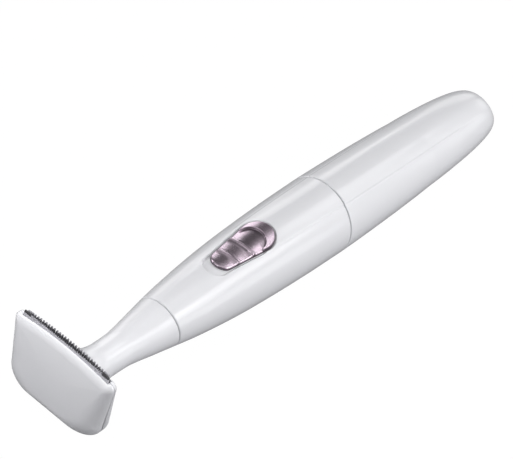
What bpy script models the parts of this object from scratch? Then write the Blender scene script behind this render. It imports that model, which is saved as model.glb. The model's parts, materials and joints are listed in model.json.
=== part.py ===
"""Precision hair trimmer with a wide T-shaped head, a slide switch and one AAA cell.

Metres, +Z up. The handle lies along X with its head at -X. The origin is on the
small belly flat that the trimmer rests on. Heights inside the pieces are measured
from the handle's axis, which lies AXIS_HEIGHT above the flat.
"""

import math

import bpy
import bmesh
import numpy as np
from mathutils import Vector

# Driving sizes of the handle
AXIS_HEIGHT = 0.0101
CAP_BODY_LENGTH = 0.0363
CAP_DOME_LENGTH = 0.0304
REST_TO_REAR_SEAM = 0.0137
NECK_RADIUS = 0.0046
FRONT_SEAM_RADIUS = 0.0070
BELLY_RADIUS = 0.0107
DOME_RADIUS = 0.0095
NECK_TAPER_LENGTH = 0.0184
NECK_STRAIGHT_LENGTH = 0.0030
SEAM_GAP = 0.0003

# How the radius swells along each stretch: (place share, radius share)
NECK_TAPER_SHARES = ((0, 0), (0.16, 0.03), (0.38, 0.23), (0.6, 0.51), (0.8, 0.75), (1, 1))
FRONT_SWELL_SHARES = ((0, 0), (0.1, 0.23), (0.205, 0.43), (0.37, 0.677), (0.565, 0.85), (0.777, 0.957), (1, 1))
CAP_TAPER_SHARES = ((0, 0), (0.15, 0.07), (0.31, 0.17), (0.64, 0.47), (0.92, 0.85), (1, 1))
DOME_REACH_POWER = 1.2
DOME_BLUNT_POWER = 5.8

# Slant of the front seam and of the cap's end, as lengthwise shift per height
FRONT_SLANT_SHARE = -0.169
END_SLANT_SHARE = -0.31
FRONT_SLANT_FADE = 0.016

# Walls and clearances
HOUSING_WALL = 0.0014
CAP_WALL = 0.0013
NECK_WALL = 0.0011
COVER_WALL = 0.00095
FIT_GAP = 0.0003
CLOSE_GAP = 0.0002
CAVITY_MARGIN = 0.0007
CAP_END_WALL = 0.0022
RUNNING_GAP = 0.0001
CUT_OVERRUN = 0.002

# Head outline, seen from the front, with heights above the axis
HEAD_DEPTH = 0.0041
HEAD_TOP = 0.0168
RIM_ARCH_RADIUS = 0.088
PARTING_TOP_HALF = 0.0157
PARTING_BOTTOM_HALF = 0.0144
PARTING_BOTTOM = 0.0059
PARTING_CORNER = 0.0048
SHOULDER_HALF = 0.0157
SHOULDER_BOTTOM = 0.0043
SHOULDER_CORNER = 0.0065
SHOULDER_REACH_SHARE = 0.08
FACE_TOP_HALF = 0.0157
FACE_BOTTOM_HALF = 0.0137
FACE_BOTTOM = 0.0051
FACE_CORNER = 0.0061
TOP_CORNER = 0.0015
FACE_ROUNDING = 0.0018
PARTING_SLANT_SHARE = -0.132
HEAD_CENTRE = 0.0052
FLARE_LENGTH = 0.0149
FLARE_RING_SHARES = (1.06, 1.01, 0.96, 0.92, 0.872, 0.83, 0.79, 0.73, 0.65, 0.52, 0.35, 0.17, 0)
FLARE_SHARES = ((0, 0), (0.2, 0.03), (0.47, 0.15), (0.67, 0.36), (0.79, 0.6), (0.872, 0.84), (0.933, 0.98), (1, 1))

# Comb and cutter plates
COMB_HALF_LENGTH = 0.0136
COMB_TOOTHED_HALF = 0.0114
COMB_TEETH = 37
COMB_TOOTH_HEIGHT = 0.0010
COMB_TIP = 0.0183
COMB_BOTTOM = 0.0092
COMB_LOWER_HALF = 0.0113
COMB_SHOULDER = 0.0145
CUTTER_TEETH = 26
CUTTER_TOOTHED_HALF = 0.0112
CUTTER_HALF_LENGTH = 0.0130
CUTTER_TOOTH_HEIGHT = 0.0013
CUTTER_TIP_DROP = 0.0001
CUTTER_BOTTOM = 0.0132
CUTTER_TAB_BOTTOM = 0.0110
CUTTER_LOWER_HALF = 0.0110
PLATE_THICKNESS = 0.0004
TOOTH_ROOT_SHARE = 0.62
TOOTH_TIP_SHARE = 0.42

# Lever, pivot and eccentric
PIVOT_FROM_SEAM = 0.0174
PIVOT_PIN_RADIUS = 0.0007
PIVOT_PIN_SINK = 0.0005
LEVER_EYE_RADIUS = 0.0020
LEVER_HALF_WIDTH = 0.0012
LEVER_HALF_HEIGHT = 0.0010
RISER_THICKNESS = 0.0013
PEG_RADIUS = 0.0008
PEG_HEIGHT = 0.0076
FORK_PRONG = 0.00085
FORK_LENGTH = 0.0025
FORK_HALF_HEIGHT = 0.0013
FORK_BRIDGE = 0.0012
ECCENTRIC_THROW = 0.0006
ECCENTRIC_PIN_RADIUS = 0.0006
PIN_REACH = 0.0036
PIN_TIP_CLEARANCE = 0.0005
HUB_RADIUS = 0.0022
HUB_LENGTH = 0.0034
PIN_SINK = 0.0013
SHAFT_SINK = 0.0016
HUB_FREE_GAP = 0.0004
SHAFT_RADIUS = 0.00075

# Neck plug that the head is pushed on with
PLUG_RADIUS = 0.0051
PLUG_BORE = 0.0041
PLUG_LENGTH = 0.0066
PLUG_ROOT = 0.0028
PLUG_FLANGE = 0.0016
SEAL_WIRE_RADIUS = 0.00033
SEAL_GROOVE_DEPTH = 0.0005
SEAL_GROOVE_WIDTH = 0.0011
HEAD_SEAL_FROM_SEAM = 0.0042

# Motor, with its flat top and bottom
MOTOR_FROM_SEAM = 0.0123
TERMINAL_ROOM = 0.0068
MOTOR_LENGTH = 0.0148
MOTOR_RADIUS = 0.0059
MOTOR_HALF_HEIGHT = 0.0045
CAN_WALL = 0.0005
BOSS_RADIUS = 0.0022
BOSS_LENGTH = 0.0009
END_CAP_THICKNESS = 0.0019
MAGNET_THICKNESS = 0.0011
MAGNET_HALF_HEIGHT = 0.0026
ROTOR_RADIUS = 0.0036
ROTOR_LENGTH = 0.0095
TERMINAL_LENGTH = 0.0018
TERMINAL_OFFSET = 0.0036
TERMINAL_THICKNESS = 0.0004
TERMINAL_HEIGHT = 0.0016
MOTOR_SCREW_OFFSET = 0.0041
MOTOR_SCREW_RADIUS = 0.00065
MOTOR_SCREW_HEAD_RADIUS = 0.0012
MOTOR_SCREW_HEAD = 0.0006
LEAD_RADIUS = 0.0005
LEAD_BEND = 0.0009

# Cradle that carries the motor, and the tube that carries the cell
CRADLE_WALL = 0.0006
CRADLE_FRONT_WALL = 0.0010
CRADLE_HOLE_RADIUS = 0.0026
CRADLE_RIM_HEIGHT = 0.0024
LEAD_HOLE_RADIUS = 0.0010
TUBE_BEFORE_SEAM = 0.0252
BULKHEAD = 0.0012
TUBE_WALL = 0.0010
TUBE_HOLE_MARGIN = 0.0005
TUBE_PAST_SEAM = 0.0074
COLLAR_LENGTH = 0.0030
COLLAR_WEB = 0.0012
SLEEVE_RADIUS = 0.0086
SLEEVE_WALL = 0.00095
CAP_SEAL_FROM_SEAM = 0.0032

# Cell, contacts and spring
CELL_RADIUS = 0.00525
CELL_BODY_LENGTH = 0.0434
CELL_NUB_RADIUS = 0.0019
CELL_NUB_LENGTH = 0.0011
CELL_EDGE = 0.0004
CONTACT_THICKNESS = 0.00035
CONTACT_DISC_RADIUS = 0.0040
CONTACT_DIMPLE_RADIUS = 0.0014
STRIP_HALF_WIDTH = 0.0015
NEGATIVE_STRIP_LEAD = 0.0020
SPRING_FREE_LENGTH = 0.0073
SPRING_WIDE_RADIUS = 0.0040
SPRING_NARROW_RADIUS = 0.0026
SPRING_WIRE_RADIUS = 0.00035
SPRING_TURNS = 5
HOLDER_SLEEVE_LENGTH = 0.0120
HOLDER_DISC = 0.0018
HOLDER_WALL = 0.0009
PLATE_DISC_RADIUS = 0.0050

# Switch
SWITCH_TRAVEL = 0.0025
BUTTON_PAST_TUBE = 0.0029
BUTTON_LENGTH = 0.0216
BUTTON_FRONT_RADIUS = 0.0026
BUTTON_REAR_RADIUS = 0.0050
BUTTON_PROUD = 0.0006
RECESS_MARGIN = 0.0003
RECESS_FLOOR = 0.0079
CEILING_HEIGHT = 0.0069
CEILING_FRONT_MARGIN = 0.0018
CEILING_REAR_MARGIN = 0.0040
STEM_FROM_BUTTON_REAR = 0.0070
STEM_LENGTH = 0.0026
STEM_HALF_WIDTH = 0.0012
CARRIAGE_LENGTH = 0.0036
CARRIAGE_HALF_WIDTH = 0.0026
CARRIAGE_HEIGHT = 0.0018
CARRIAGE_FLOOR = 0.0004
BRIDGE_THICKNESS = 0.0003
BRIDGE_LENGTH = 0.0026
BRIDGE_HALF_WIDTH = 0.0018
SWITCH_PLATE_THICKNESS = 0.0007
SWITCH_PLATE_HALF_WIDTH = 0.0060
SWITCH_PLATE_LENGTH = 0.0052
MOTOR_STRIP_WIDTH = 0.0013
STRIP_SPACING = 0.0006
LEG_OFFSET = 0.0033
LEG_WIDTH = 0.0012
LEG_DROP = 0.0009
LEAD_FROM_TUBE = 0.0028
SCOOP_RADIUS = 0.0045
SCOOP_DEPTH = 0.0005
SCOOP_SHARES = (0.22, 0.45, 0.7)

# Screws that hold the comb
COMB_SCREW_OFFSET = 0.0095
COMB_SCREW_HEIGHT = 0.0112
COMB_SCREW_RADIUS = 0.0006
COMB_SCREW_HEAD_RADIUS = 0.0011
COMB_SCREW_HEAD = 0.00018
COMB_SCREW_SEAT = 0.00004
COMB_SCREW_LENGTH = 0.0030
BOSS_POST_RADIUS = 0.0017
BOSS_POST_LENGTH = 0.0032

# Carrier and its spring
CARRIER_HALF_LENGTH = 0.0070
CARRIER_TOP = 0.0134
CARRIER_WAIST = 0.0100
CARRIER_THICKNESS = 0.0008
CARRIER_BLOCK_HALF = 0.0024
CARRIER_BLOCK_DEPTH = 0.0022
CARRIER_BLOCK_BOTTOM = 0.0061
SLOT_HEIGHT_MARGIN = 0.0003
LEAF_HALF_LENGTH = 0.0070
LEAF_BOTTOM = 0.0107
LEAF_HEIGHT = 0.0019
LEAF_THICKNESS = 0.00025
LEAF_BOW = 0.0003

# Fineness of round shapes
SHELL_STEPS = 36
ROUND_STEPS = 24
SMALL_STEPS = 16
PIN_STEPS = 12
SEAL_PARTS = 6
HOUSING_STATIONS = 17
CAVITY_STATIONS = 9
CAP_STATIONS = 8
DOME_STATIONS = 11
CAP_INNER_STATIONS = 5
NECK_STATIONS = 5
ROUNDING_PARTS = 3
BOTTOM_PARTS = 3
CORNER_PARTS = 5
SIDE_PARTS = 4
TOP_CORNER_PARTS = 3
TOP_PARTS = 5
LEAF_PARTS = 8
SPRING_TURN_PARTS = 12
SHARP_ANGLE = 0.6
WELD_DISTANCE = 0.000001
HALF_TURN = 180
FULL_TURN = 360

# Colours
PEARL_WHITE = (0.86, 0.865, 0.88)
MAUVE = (0.48, 0.36, 0.45)
COMB_STEEL = (0.72, 0.71, 0.76)
CUTTER_STEEL = (0.30, 0.29, 0.33)
SCREW_STEEL = (0.6, 0.6, 0.62)
SPRING_STEEL = (0.55, 0.56, 0.58)
ZINC = (0.66, 0.67, 0.68)
BRASS = (0.78, 0.62, 0.3)
COPPER = (0.7, 0.38, 0.2)
MAGNET_GREY = (0.12, 0.12, 0.13)
DARK_PLASTIC = (0.06, 0.06, 0.07)
LEVER_PLASTIC = (0.75, 0.75, 0.72)
CRADLE_GREY = (0.5, 0.52, 0.55)
CELL_GREEN = (0.1, 0.32, 0.2)
BOARD_BROWN = (0.36, 0.2, 0.1)
SEAL_RUBBER = (0.05, 0.05, 0.05)
RED_WIRE = (0.6, 0.05, 0.05)
BLACK_WIRE = (0.03, 0.03, 0.03)

# Places along the handle that follow from the sizes above
REAR_SEAM = REST_TO_REAR_SEAM
CAP_END = REAR_SEAM + CAP_BODY_LENGTH + CAP_DOME_LENGTH
TUBE = REAR_SEAM - TUBE_BEFORE_SEAM
END_CAP_END = TUBE - TERMINAL_ROOM
MOTOR_END = END_CAP_END - END_CAP_THICKNESS - CLOSE_GAP
MOTOR = MOTOR_END - MOTOR_LENGTH
FRONT_SEAM = MOTOR - MOTOR_FROM_SEAM
FRONT_LENGTH = REAR_SEAM - FRONT_SEAM
NECK_END = FRONT_SEAM - NECK_TAPER_LENGTH
PARTING = NECK_END - NECK_STRAIGHT_LENGTH - FLARE_LENGTH
FACE = PARTING - HEAD_DEPTH
PIVOT = FRONT_SEAM - PIVOT_FROM_SEAM
HUB_REAR = MOTOR - BOSS_LENGTH - HUB_FREE_GAP
HUB_FRONT = HUB_REAR - HUB_LENGTH
PIN_TIP = HUB_FRONT - PIN_REACH
TUBE_RADIUS = CELL_RADIUS + FIT_GAP
TUBE_OUTER = TUBE_RADIUS + TUBE_WALL
TUBE_END = REAR_SEAM + TUBE_PAST_SEAM
CELL_BODY = TUBE + BULKHEAD + FIT_GAP + CELL_NUB_LENGTH
CELL_END = CELL_BODY + CELL_BODY_LENGTH
SPRING_END = CELL_END + FIT_GAP + SPRING_FREE_LENGTH
SPRING_SEAT = SPRING_END + FIT_GAP
HOLDER_DISC_START = SPRING_SEAT + CONTACT_THICKNESS + CLOSE_GAP
HOLDER_END = HOLDER_DISC_START + HOLDER_DISC
CRADLE_RADIUS = MOTOR_RADIUS + CLOSE_GAP
CRADLE_OUTER = CRADLE_RADIUS + CRADLE_WALL
CRADLE_FRONT = MOTOR - CLOSE_GAP - CRADLE_FRONT_WALL
CRADLE_END = TUBE - FIT_GAP
STRIP_TOP = -TUBE_OUTER - FIT_GAP
BUTTON_REAR = TUBE + BUTTON_PAST_TUBE
BUTTON_FRONT = BUTTON_REAR - BUTTON_LENGTH
STEM = BUTTON_REAR - STEM_FROM_BUTTON_REAR
CONTACT_FRONT = TUBE - FIT_GAP - CONTACT_THICKNESS
LEAD_PLACE = TUBE - LEAD_FROM_TUBE
SWITCH_PLATE = CONTACT_FRONT - FIT_GAP - SWITCH_PLATE_LENGTH
BATTERY_STRIP = SWITCH_PLATE + MOTOR_STRIP_WIDTH + STRIP_SPACING
SWITCH_PLATE_BOTTOM = CRADLE_RIM_HEIGHT + FIT_GAP
SWITCH_STRIP_BOTTOM = SWITCH_PLATE_BOTTOM + SWITCH_PLATE_THICKNESS + CLOSE_GAP
SWITCH_STRIP_TOP = SWITCH_STRIP_BOTTOM + CONTACT_THICKNESS
CARRIAGE_BOTTOM = SWITCH_STRIP_TOP + CLOSE_GAP + BRIDGE_THICKNESS + FIT_GAP
LEG_BOTTOM = SWITCH_PLATE_BOTTOM - LEG_DROP
COMB_FRONT = FACE + COVER_WALL + FIT_GAP
CUTTER_FRONT = COMB_FRONT + PLATE_THICKNESS + CLOSE_GAP
CARRIER_FRONT = CUTTER_FRONT + PLATE_THICKNESS + CLOSE_GAP
FORK_FRONT = PIN_TIP - PIN_TIP_CLEARANCE - FORK_BRIDGE
PIVOT_PIN_HALF = NECK_RADIUS - NECK_WALL + PIVOT_PIN_SINK


def smooth(table, share):
    """Value at a share of the way along a table of (place, value) shares, on a smooth curve."""
    places, values = (np.array(column, dtype=float) for column in zip(*table))
    slopes = np.gradient(values, places)
    at = min(max(share, 0.0), 1.0)
    left = int(np.searchsorted(places[1:-1], at, side="right"))
    span = places[left + 1] - places[left]
    t = (at - places[left]) / span
    rise = values[left + 1] - values[left]
    bend = t * (1 - t) * ((1 - t) * (slopes[left] * span - rise) + t * (rise - slopes[left + 1] * span))
    return float(values[left] + rise * t + bend)


def handle_radius(x):
    """Outer radius of the neck, front housing or cap at a place along the handle."""
    if x < FRONT_SEAM:
        share = smooth(NECK_TAPER_SHARES, (x - NECK_END) / NECK_TAPER_LENGTH)
        return NECK_RADIUS + (FRONT_SEAM_RADIUS - NECK_RADIUS) * share
    if x < REAR_SEAM:
        share = smooth(FRONT_SWELL_SHARES, (x - FRONT_SEAM) / FRONT_LENGTH)
        return FRONT_SEAM_RADIUS + (BELLY_RADIUS - FRONT_SEAM_RADIUS) * share
    if x < REAR_SEAM + CAP_BODY_LENGTH:
        share = smooth(CAP_TAPER_SHARES, (x - REAR_SEAM) / CAP_BODY_LENGTH)
        return BELLY_RADIUS + (DOME_RADIUS - BELLY_RADIUS) * share
    reach = min((x - REAR_SEAM - CAP_BODY_LENGTH) / CAP_DOME_LENGTH, 1.0)
    return DOME_RADIUS * (1 - reach**DOME_REACH_POWER) ** (1 / DOME_BLUNT_POWER)


def slant_at(x):
    """Lengthwise shift per height: it leans the rings near the front seam and the cap's end."""
    fade = max(1 - abs(x - FRONT_SEAM) / FRONT_SLANT_FADE, 0.0)
    reach = (x - REAR_SEAM - CAP_BODY_LENGTH) / CAP_DOME_LENGTH
    return FRONT_SLANT_SHARE * fade**2 + END_SLANT_SHARE * min(max(reach, 0.0), 1.0) ** 2


def new_collection(name):
    collection = bpy.data.collections.new(name)
    bpy.context.scene.collection.children.link(collection)
    return collection


def new_body(name, x, height=0.0):
    """An empty on a joint's axis: the pieces that move together hang from it."""
    empty = bpy.data.objects.new(name, None)
    empty.location = (x, 0, AXIS_HEIGHT + height)
    empty.empty_display_size = BELLY_RADIUS
    PARTS.objects.link(empty)
    return empty


def new_object(name, data):
    piece = bpy.data.objects.new(name, data)
    piece.location = (0, 0, AXIS_HEIGHT)
    CUTTERS.objects.link(piece)
    piece.hide_render = True
    piece.display_type = "WIRE"
    return piece


def paint(piece, colour, roughness, metallic=0.0):
    material = bpy.data.materials.new(piece.name)
    material.use_nodes = True
    shader = material.node_tree.nodes["Principled BSDF"]
    shader.inputs["Base Color"].default_value = (*colour, 1)
    shader.inputs["Roughness"].default_value = roughness
    shader.inputs["Metallic"].default_value = metallic
    piece.data.materials.clear()
    piece.data.materials.append(material)


def make_part(piece, body, colour, roughness, metallic=0.0):
    """Turn a helper object into a visible part of a body, with its own material."""
    CUTTERS.objects.unlink(piece)
    PARTS.objects.link(piece)
    piece.hide_render = False
    piece.display_type = "TEXTURED"
    piece.parent = body
    piece.location = piece.location - body.location
    paint(piece, colour, roughness, metallic)
    return piece


def realised(piece):
    """Replace an object by a mesh object of its evaluated shape, in the same place."""
    bpy.context.view_layer.update()
    graph = bpy.context.evaluated_depsgraph_get()
    mesh = bpy.data.meshes.new_from_object(piece.evaluated_get(graph))
    shape = bmesh.new()
    shape.from_mesh(mesh)
    bmesh.ops.remove_doubles(shape, verts=shape.verts, dist=WELD_DISTANCE)
    shape.to_mesh(mesh)
    shape.free()
    name = piece.name
    place = piece.location.copy()
    turn = piece.rotation_euler.copy()
    bpy.data.objects.remove(piece)
    solid = new_object(name, mesh)
    solid.location = place
    solid.rotation_euler = turn
    return solid


def smooth_shaded(piece):
    piece.data.shade_smooth()
    piece.data.set_sharp_from_angle(angle=SHARP_ANGLE)
    return piece


def turned(name, outline, steps=ROUND_STEPS):
    """Turn an outline of (place along the handle, radius) points about the handle's axis."""
    places = [point[0] for point in outline]
    radii = [point[1] for point in outline]
    area = sum(
        places[i - 1] * radii[i] - places[i] * radii[i - 1]
        for i in range(len(outline))
    )
    if area < 0:
        outline = outline[::-1]
    if min(radii) == 0:
        start = next(i for i in range(len(outline)) if outline[i][1] == 0 and outline[i - 1][1] == 0)
        outline = outline[start:] + outline[:start]
        edges = [(i, i + 1) for i in range(len(outline) - 1)]
    else:
        edges = [(i, (i + 1) % len(outline)) for i in range(len(outline))]
    mesh = bpy.data.meshes.new(name)
    mesh.from_pydata([(radius, 0, place) for place, radius in outline], edges, [])
    piece = new_object(name, mesh)
    piece.rotation_euler = (0, math.pi / 2, 0)
    screw = piece.modifiers.new("Turn", "SCREW")
    screw.steps = screw.render_steps = steps
    screw.use_merge_vertices = True
    screw.merge_threshold = WELD_DISTANCE
    return smooth_shaded(realised(piece))


def slanted(piece):
    """Lean a turned piece's rings, so that its seams and end lie at a slant."""
    for vertex in piece.data.vertices:
        vertex.co.z -= slant_at(vertex.co.z) * vertex.co.x
    return piece


def block(name, low, high, lean_share=0.0):
    """A box between two corners, measured from the handle's axis, leaned along the handle."""
    mesh = bpy.data.meshes.new(name)
    shape = bmesh.new()
    bmesh.ops.create_cube(shape, size=1)
    size = Vector(high) - Vector(low)
    middle = (Vector(low) + Vector(high)) / 2
    bmesh.ops.scale(shape, vec=size, verts=shape.verts)
    for vertex in shape.verts:
        vertex.co.x += lean_share * (vertex.co.z + middle.z)
    shape.to_mesh(mesh)
    shape.free()
    piece = new_object(name, mesh)
    piece.location += middle
    return piece


TURNS = {
    "X": (0, math.pi / 2, 0),
    "Y": (-math.pi / 2, 0, 0),
    "Z": (0, 0, 0),
}


def rod(name, start, axis, length, radius, tip_radius=None, steps=SMALL_STEPS):
    """A cylinder or cone from a start point along an axis."""
    mesh = bpy.data.meshes.new(name)
    shape = bmesh.new()
    bmesh.ops.create_cone(
        shape,
        cap_ends=True,
        segments=steps,
        radius1=radius,
        radius2=radius if tip_radius is None else tip_radius,
        depth=length,
    )
    bmesh.ops.translate(shape, vec=(0, 0, length / 2), verts=shape.verts)
    shape.to_mesh(mesh)
    shape.free()
    piece = new_object(name, mesh)
    piece.rotation_euler = TURNS[axis]
    piece.location += Vector(start)
    return smooth_shaded(piece)


def flat_piece(name, outlines, thickness, start, upright=False):
    """Flat sheet from closed outlines. Upright sheets stand across the handle, others lie flat."""
    curve = bpy.data.curves.new(name, "CURVE")
    curve.dimensions = "2D"
    curve.fill_mode = "BOTH"
    curve.extrude = thickness / 2
    for outline in outlines:
        spline = curve.splines.new("POLY")
        spline.points.add(len(outline) - 1)
        for point, (across, along) in zip(spline.points, outline):
            point.co = (across, along, 0, 1)
        spline.use_cyclic_u = True
    piece = new_object(name, curve)
    if upright:
        piece.rotation_euler = (math.pi / 2, 0, math.pi / 2)
        piece.location += Vector((start + thickness / 2, 0, 0))
    else:
        piece.location += Vector((0, 0, start + thickness / 2))
    return realised(piece)


def wire(name, points, radius, resolution=2):
    """A round wire through points, with filled ends."""
    curve = bpy.data.curves.new(name, "CURVE")
    curve.dimensions = "3D"
    curve.bevel_depth = radius
    curve.bevel_resolution = resolution
    curve.use_fill_caps = True
    spline = curve.splines.new("POLY")
    spline.points.add(len(points) - 1)
    for point, place in zip(spline.points, points):
        point.co = (*place, 1)
    return smooth_shaded(realised(new_object(name, curve)))


def lofted(name, rings, front_face=False):
    """An open skin over rings of points that run from the front to the rear."""
    count = len(rings[0])
    faces = []
    for ring in range(len(rings) - 1):
        for i in range(count):
            j = (i + 1) % count
            faces.append((
                ring * count + i,
                ring * count + j,
                (ring + 1) * count + j,
                (ring + 1) * count + i,
            ))
    if front_face:
        faces.append(tuple(range(count))[::-1])
    mesh = bpy.data.meshes.new(name)
    mesh.from_pydata([point for ring in rings for point in ring], [], faces)
    return new_object(name, mesh)


def thicken(piece, thickness):
    solidify = piece.modifiers.new("Wall", "SOLIDIFY")
    solidify.thickness = thickness
    solidify.offset = -1
    solidify.use_even_offset = True
    return smooth_shaded(realised(piece))


def combine(piece, other, operation):
    boolean = piece.modifiers.new(operation.title(), "BOOLEAN")
    boolean.operation = operation
    boolean.solver = "EXACT"
    boolean.object = other
    return piece


def cut(piece, *others):
    for other in others:
        combine(piece, other, "DIFFERENCE")
    return piece


def join(piece, *others):
    for other in others:
        combine(piece, other, "UNION")
    return piece


def circle(centre, radius, steps=SMALL_STEPS):
    return [
        (
            centre[0] + radius * math.cos(math.tau * i / steps),
            centre[1] + radius * math.sin(math.tau * i / steps),
        )
        for i in range(steps)
    ]


def arc(centre, radius, start, end, steps):
    """Points on an arc between two angles in degrees."""
    angles = [math.radians(start + (end - start) * i / steps) for i in range(steps + 1)]
    return [
        (centre[0] + radius * math.cos(angle), centre[1] + radius * math.sin(angle))
        for angle in angles
    ]


def teardrop(front, rear, front_radius, rear_radius, travel=0.0):
    """Outline of two circles joined by their outer tangents, swept forward by a travel."""
    front_centre = front + front_radius
    rear_centre = rear - rear_radius
    meet = math.degrees(math.acos((front_radius - rear_radius) / (rear_centre - front_centre)))
    rear_arc = arc((rear_centre, 0), rear_radius, -meet, meet, ROUND_STEPS)
    front_arc = arc((front_centre - travel, 0), front_radius, meet, FULL_TURN - meet, SMALL_STEPS)
    if travel == 0:
        return rear_arc + front_arc
    left, right = ((x - travel, across) for x, across in (rear_arc[-1], rear_arc[0]))
    return rear_arc + [left] + front_arc + [right]


def head_outline(top_half, bottom_half, bottom, corner, shrink=0.0):
    """Head seen from the front as (across, height) points: arched top, leaning sides, round corners."""
    top_half = top_half - shrink
    bottom_half = bottom_half - shrink
    bottom = bottom - shrink
    corner = corner - shrink / 2
    top_corner = TOP_CORNER - shrink / 2
    flat_half = top_half - top_corner
    edge = HEAD_TOP - shrink - flat_half**2 / (2 * RIM_ARCH_RADIUS)
    half = [((bottom_half - corner) * i / BOTTOM_PARTS, -bottom) for i in range(BOTTOM_PARTS)]
    half += arc((bottom_half - corner, corner - bottom), corner, -HALF_TURN / 2, 0, CORNER_PARTS)
    low = Vector(half[-1])
    high = Vector((top_half, edge - top_corner))
    half += [tuple(low.lerp(high, i / SIDE_PARTS)) for i in range(1, SIDE_PARTS)]
    half += arc((flat_half, edge - top_corner), top_corner, 0, HALF_TURN / 2, TOP_CORNER_PARTS)
    for i in range(1, TOP_PARTS + 1):
        across = flat_half * (1 - i / TOP_PARTS)
        half.append((across, HEAD_TOP - shrink - across**2 / (2 * RIM_ARCH_RADIUS)))
    return half + [(-across, height) for across, height in half[-2:0:-1]]


def make_front_housing():
    start = FRONT_SEAM + SEAM_GAP / 2
    end = REAR_SEAM - SEAM_GAP / 2
    places = np.linspace(start, end, HOUSING_STATIONS)
    outline = [(x, handle_radius(x)) for x in places] + [(end, 0), (start, 0)]
    housing = slanted(turned("front_housing", outline, SHELL_STEPS))

    cavity_start = FRONT_SEAM + PLUG_LENGTH + CAVITY_MARGIN
    places = np.linspace(cavity_start, end + CUT_OVERRUN, CAVITY_STATIONS)
    outline = [(x, handle_radius(min(x, end)) - HOUSING_WALL) for x in places]
    outline += [(end + CUT_OVERRUN, 0), (cavity_start, 0)]
    cavity = turned("housing_cavity", outline, SHELL_STEPS)
    ceiling = block(
        "housing_ceiling",
        (BUTTON_FRONT - SWITCH_TRAVEL - CEILING_FRONT_MARGIN, -BELLY_RADIUS, CEILING_HEIGHT),
        (BUTTON_REAR + CEILING_REAR_MARGIN, BELLY_RADIUS, BELLY_RADIUS),
    )
    cut(cavity, ceiling)
    plug_hole = rod(
        "plug_hole",
        (start - PLUG_ROOT, 0, 0),
        "X",
        PLUG_LENGTH + PLUG_ROOT + CUT_OVERRUN,
        PLUG_RADIUS + FIT_GAP,
        steps=ROUND_STEPS,
    )
    recess = flat_piece(
        "switch_recess",
        [teardrop(
            BUTTON_FRONT - RECESS_MARGIN,
            BUTTON_REAR + RECESS_MARGIN,
            BUTTON_FRONT_RADIUS + RECESS_MARGIN,
            BUTTON_REAR_RADIUS + RECESS_MARGIN,
            SWITCH_TRAVEL,
        )],
        BELLY_RADIUS - RECESS_FLOOR + CUT_OVERRUN,
        RECESS_FLOOR,
    )
    slot = block(
        "stem_slot",
        (STEM - SWITCH_TRAVEL - FIT_GAP, -STEM_HALF_WIDTH - FIT_GAP, CEILING_HEIGHT - CUT_OVERRUN),
        (STEM + STEM_LENGTH + FIT_GAP, STEM_HALF_WIDTH + FIT_GAP, RECESS_FLOOR + CUT_OVERRUN),
    )
    cut(housing, cavity, plug_hole, recess, slot, rest_cutter("front_rest_cutter"))
    make_part(housing, HANDLE, PEARL_WHITE, 0.24)


def rest_cutter(name):
    """A slab below the belly flat, which the front housing and the cap share."""
    return block(
        name,
        (FRONT_SEAM, -BELLY_RADIUS, -BELLY_RADIUS - CUT_OVERRUN),
        (CAP_END, BELLY_RADIUS, -AXIS_HEIGHT),
    )


def cap_inner_radius(x):
    return handle_radius(x) - CAP_WALL


def make_rear_cap():
    start = REAR_SEAM + SEAM_GAP / 2
    dome = REAR_SEAM + CAP_BODY_LENGTH
    mouth_radius = SLEEVE_RADIUS + FIT_GAP
    mouth_end = TUBE_END + FIT_GAP
    inner_end = CAP_END - CAP_END_WALL
    reaches = np.sin(np.linspace(0, math.pi / 2, DOME_STATIONS, endpoint=False))
    places = list(np.linspace(start, dome, CAP_STATIONS, endpoint=False))
    places += list(dome + CAP_DOME_LENGTH * reaches)
    outline = [(x, handle_radius(x)) for x in places]
    outline += [(CAP_END, 0), (inner_end, 0)]
    inner = [(inner_end, cap_inner_radius(inner_end))]
    inner += [(x, cap_inner_radius(x)) for x in np.linspace(inner_end - CAP_END_WALL, dome, CAP_INNER_STATIONS)]
    inner += [(x, cap_inner_radius(x)) for x in np.linspace(dome, mouth_end, CAP_INNER_STATIONS)[1:]]
    inner += [(mouth_end, mouth_radius), (start, mouth_radius)]
    cap = slanted(turned("rear_cap", outline + inner, SHELL_STEPS))
    cut(cap, rest_cutter("cap_rest_cutter"))
    make_part(cap, CAP, PEARL_WHITE, 0.24)


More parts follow.
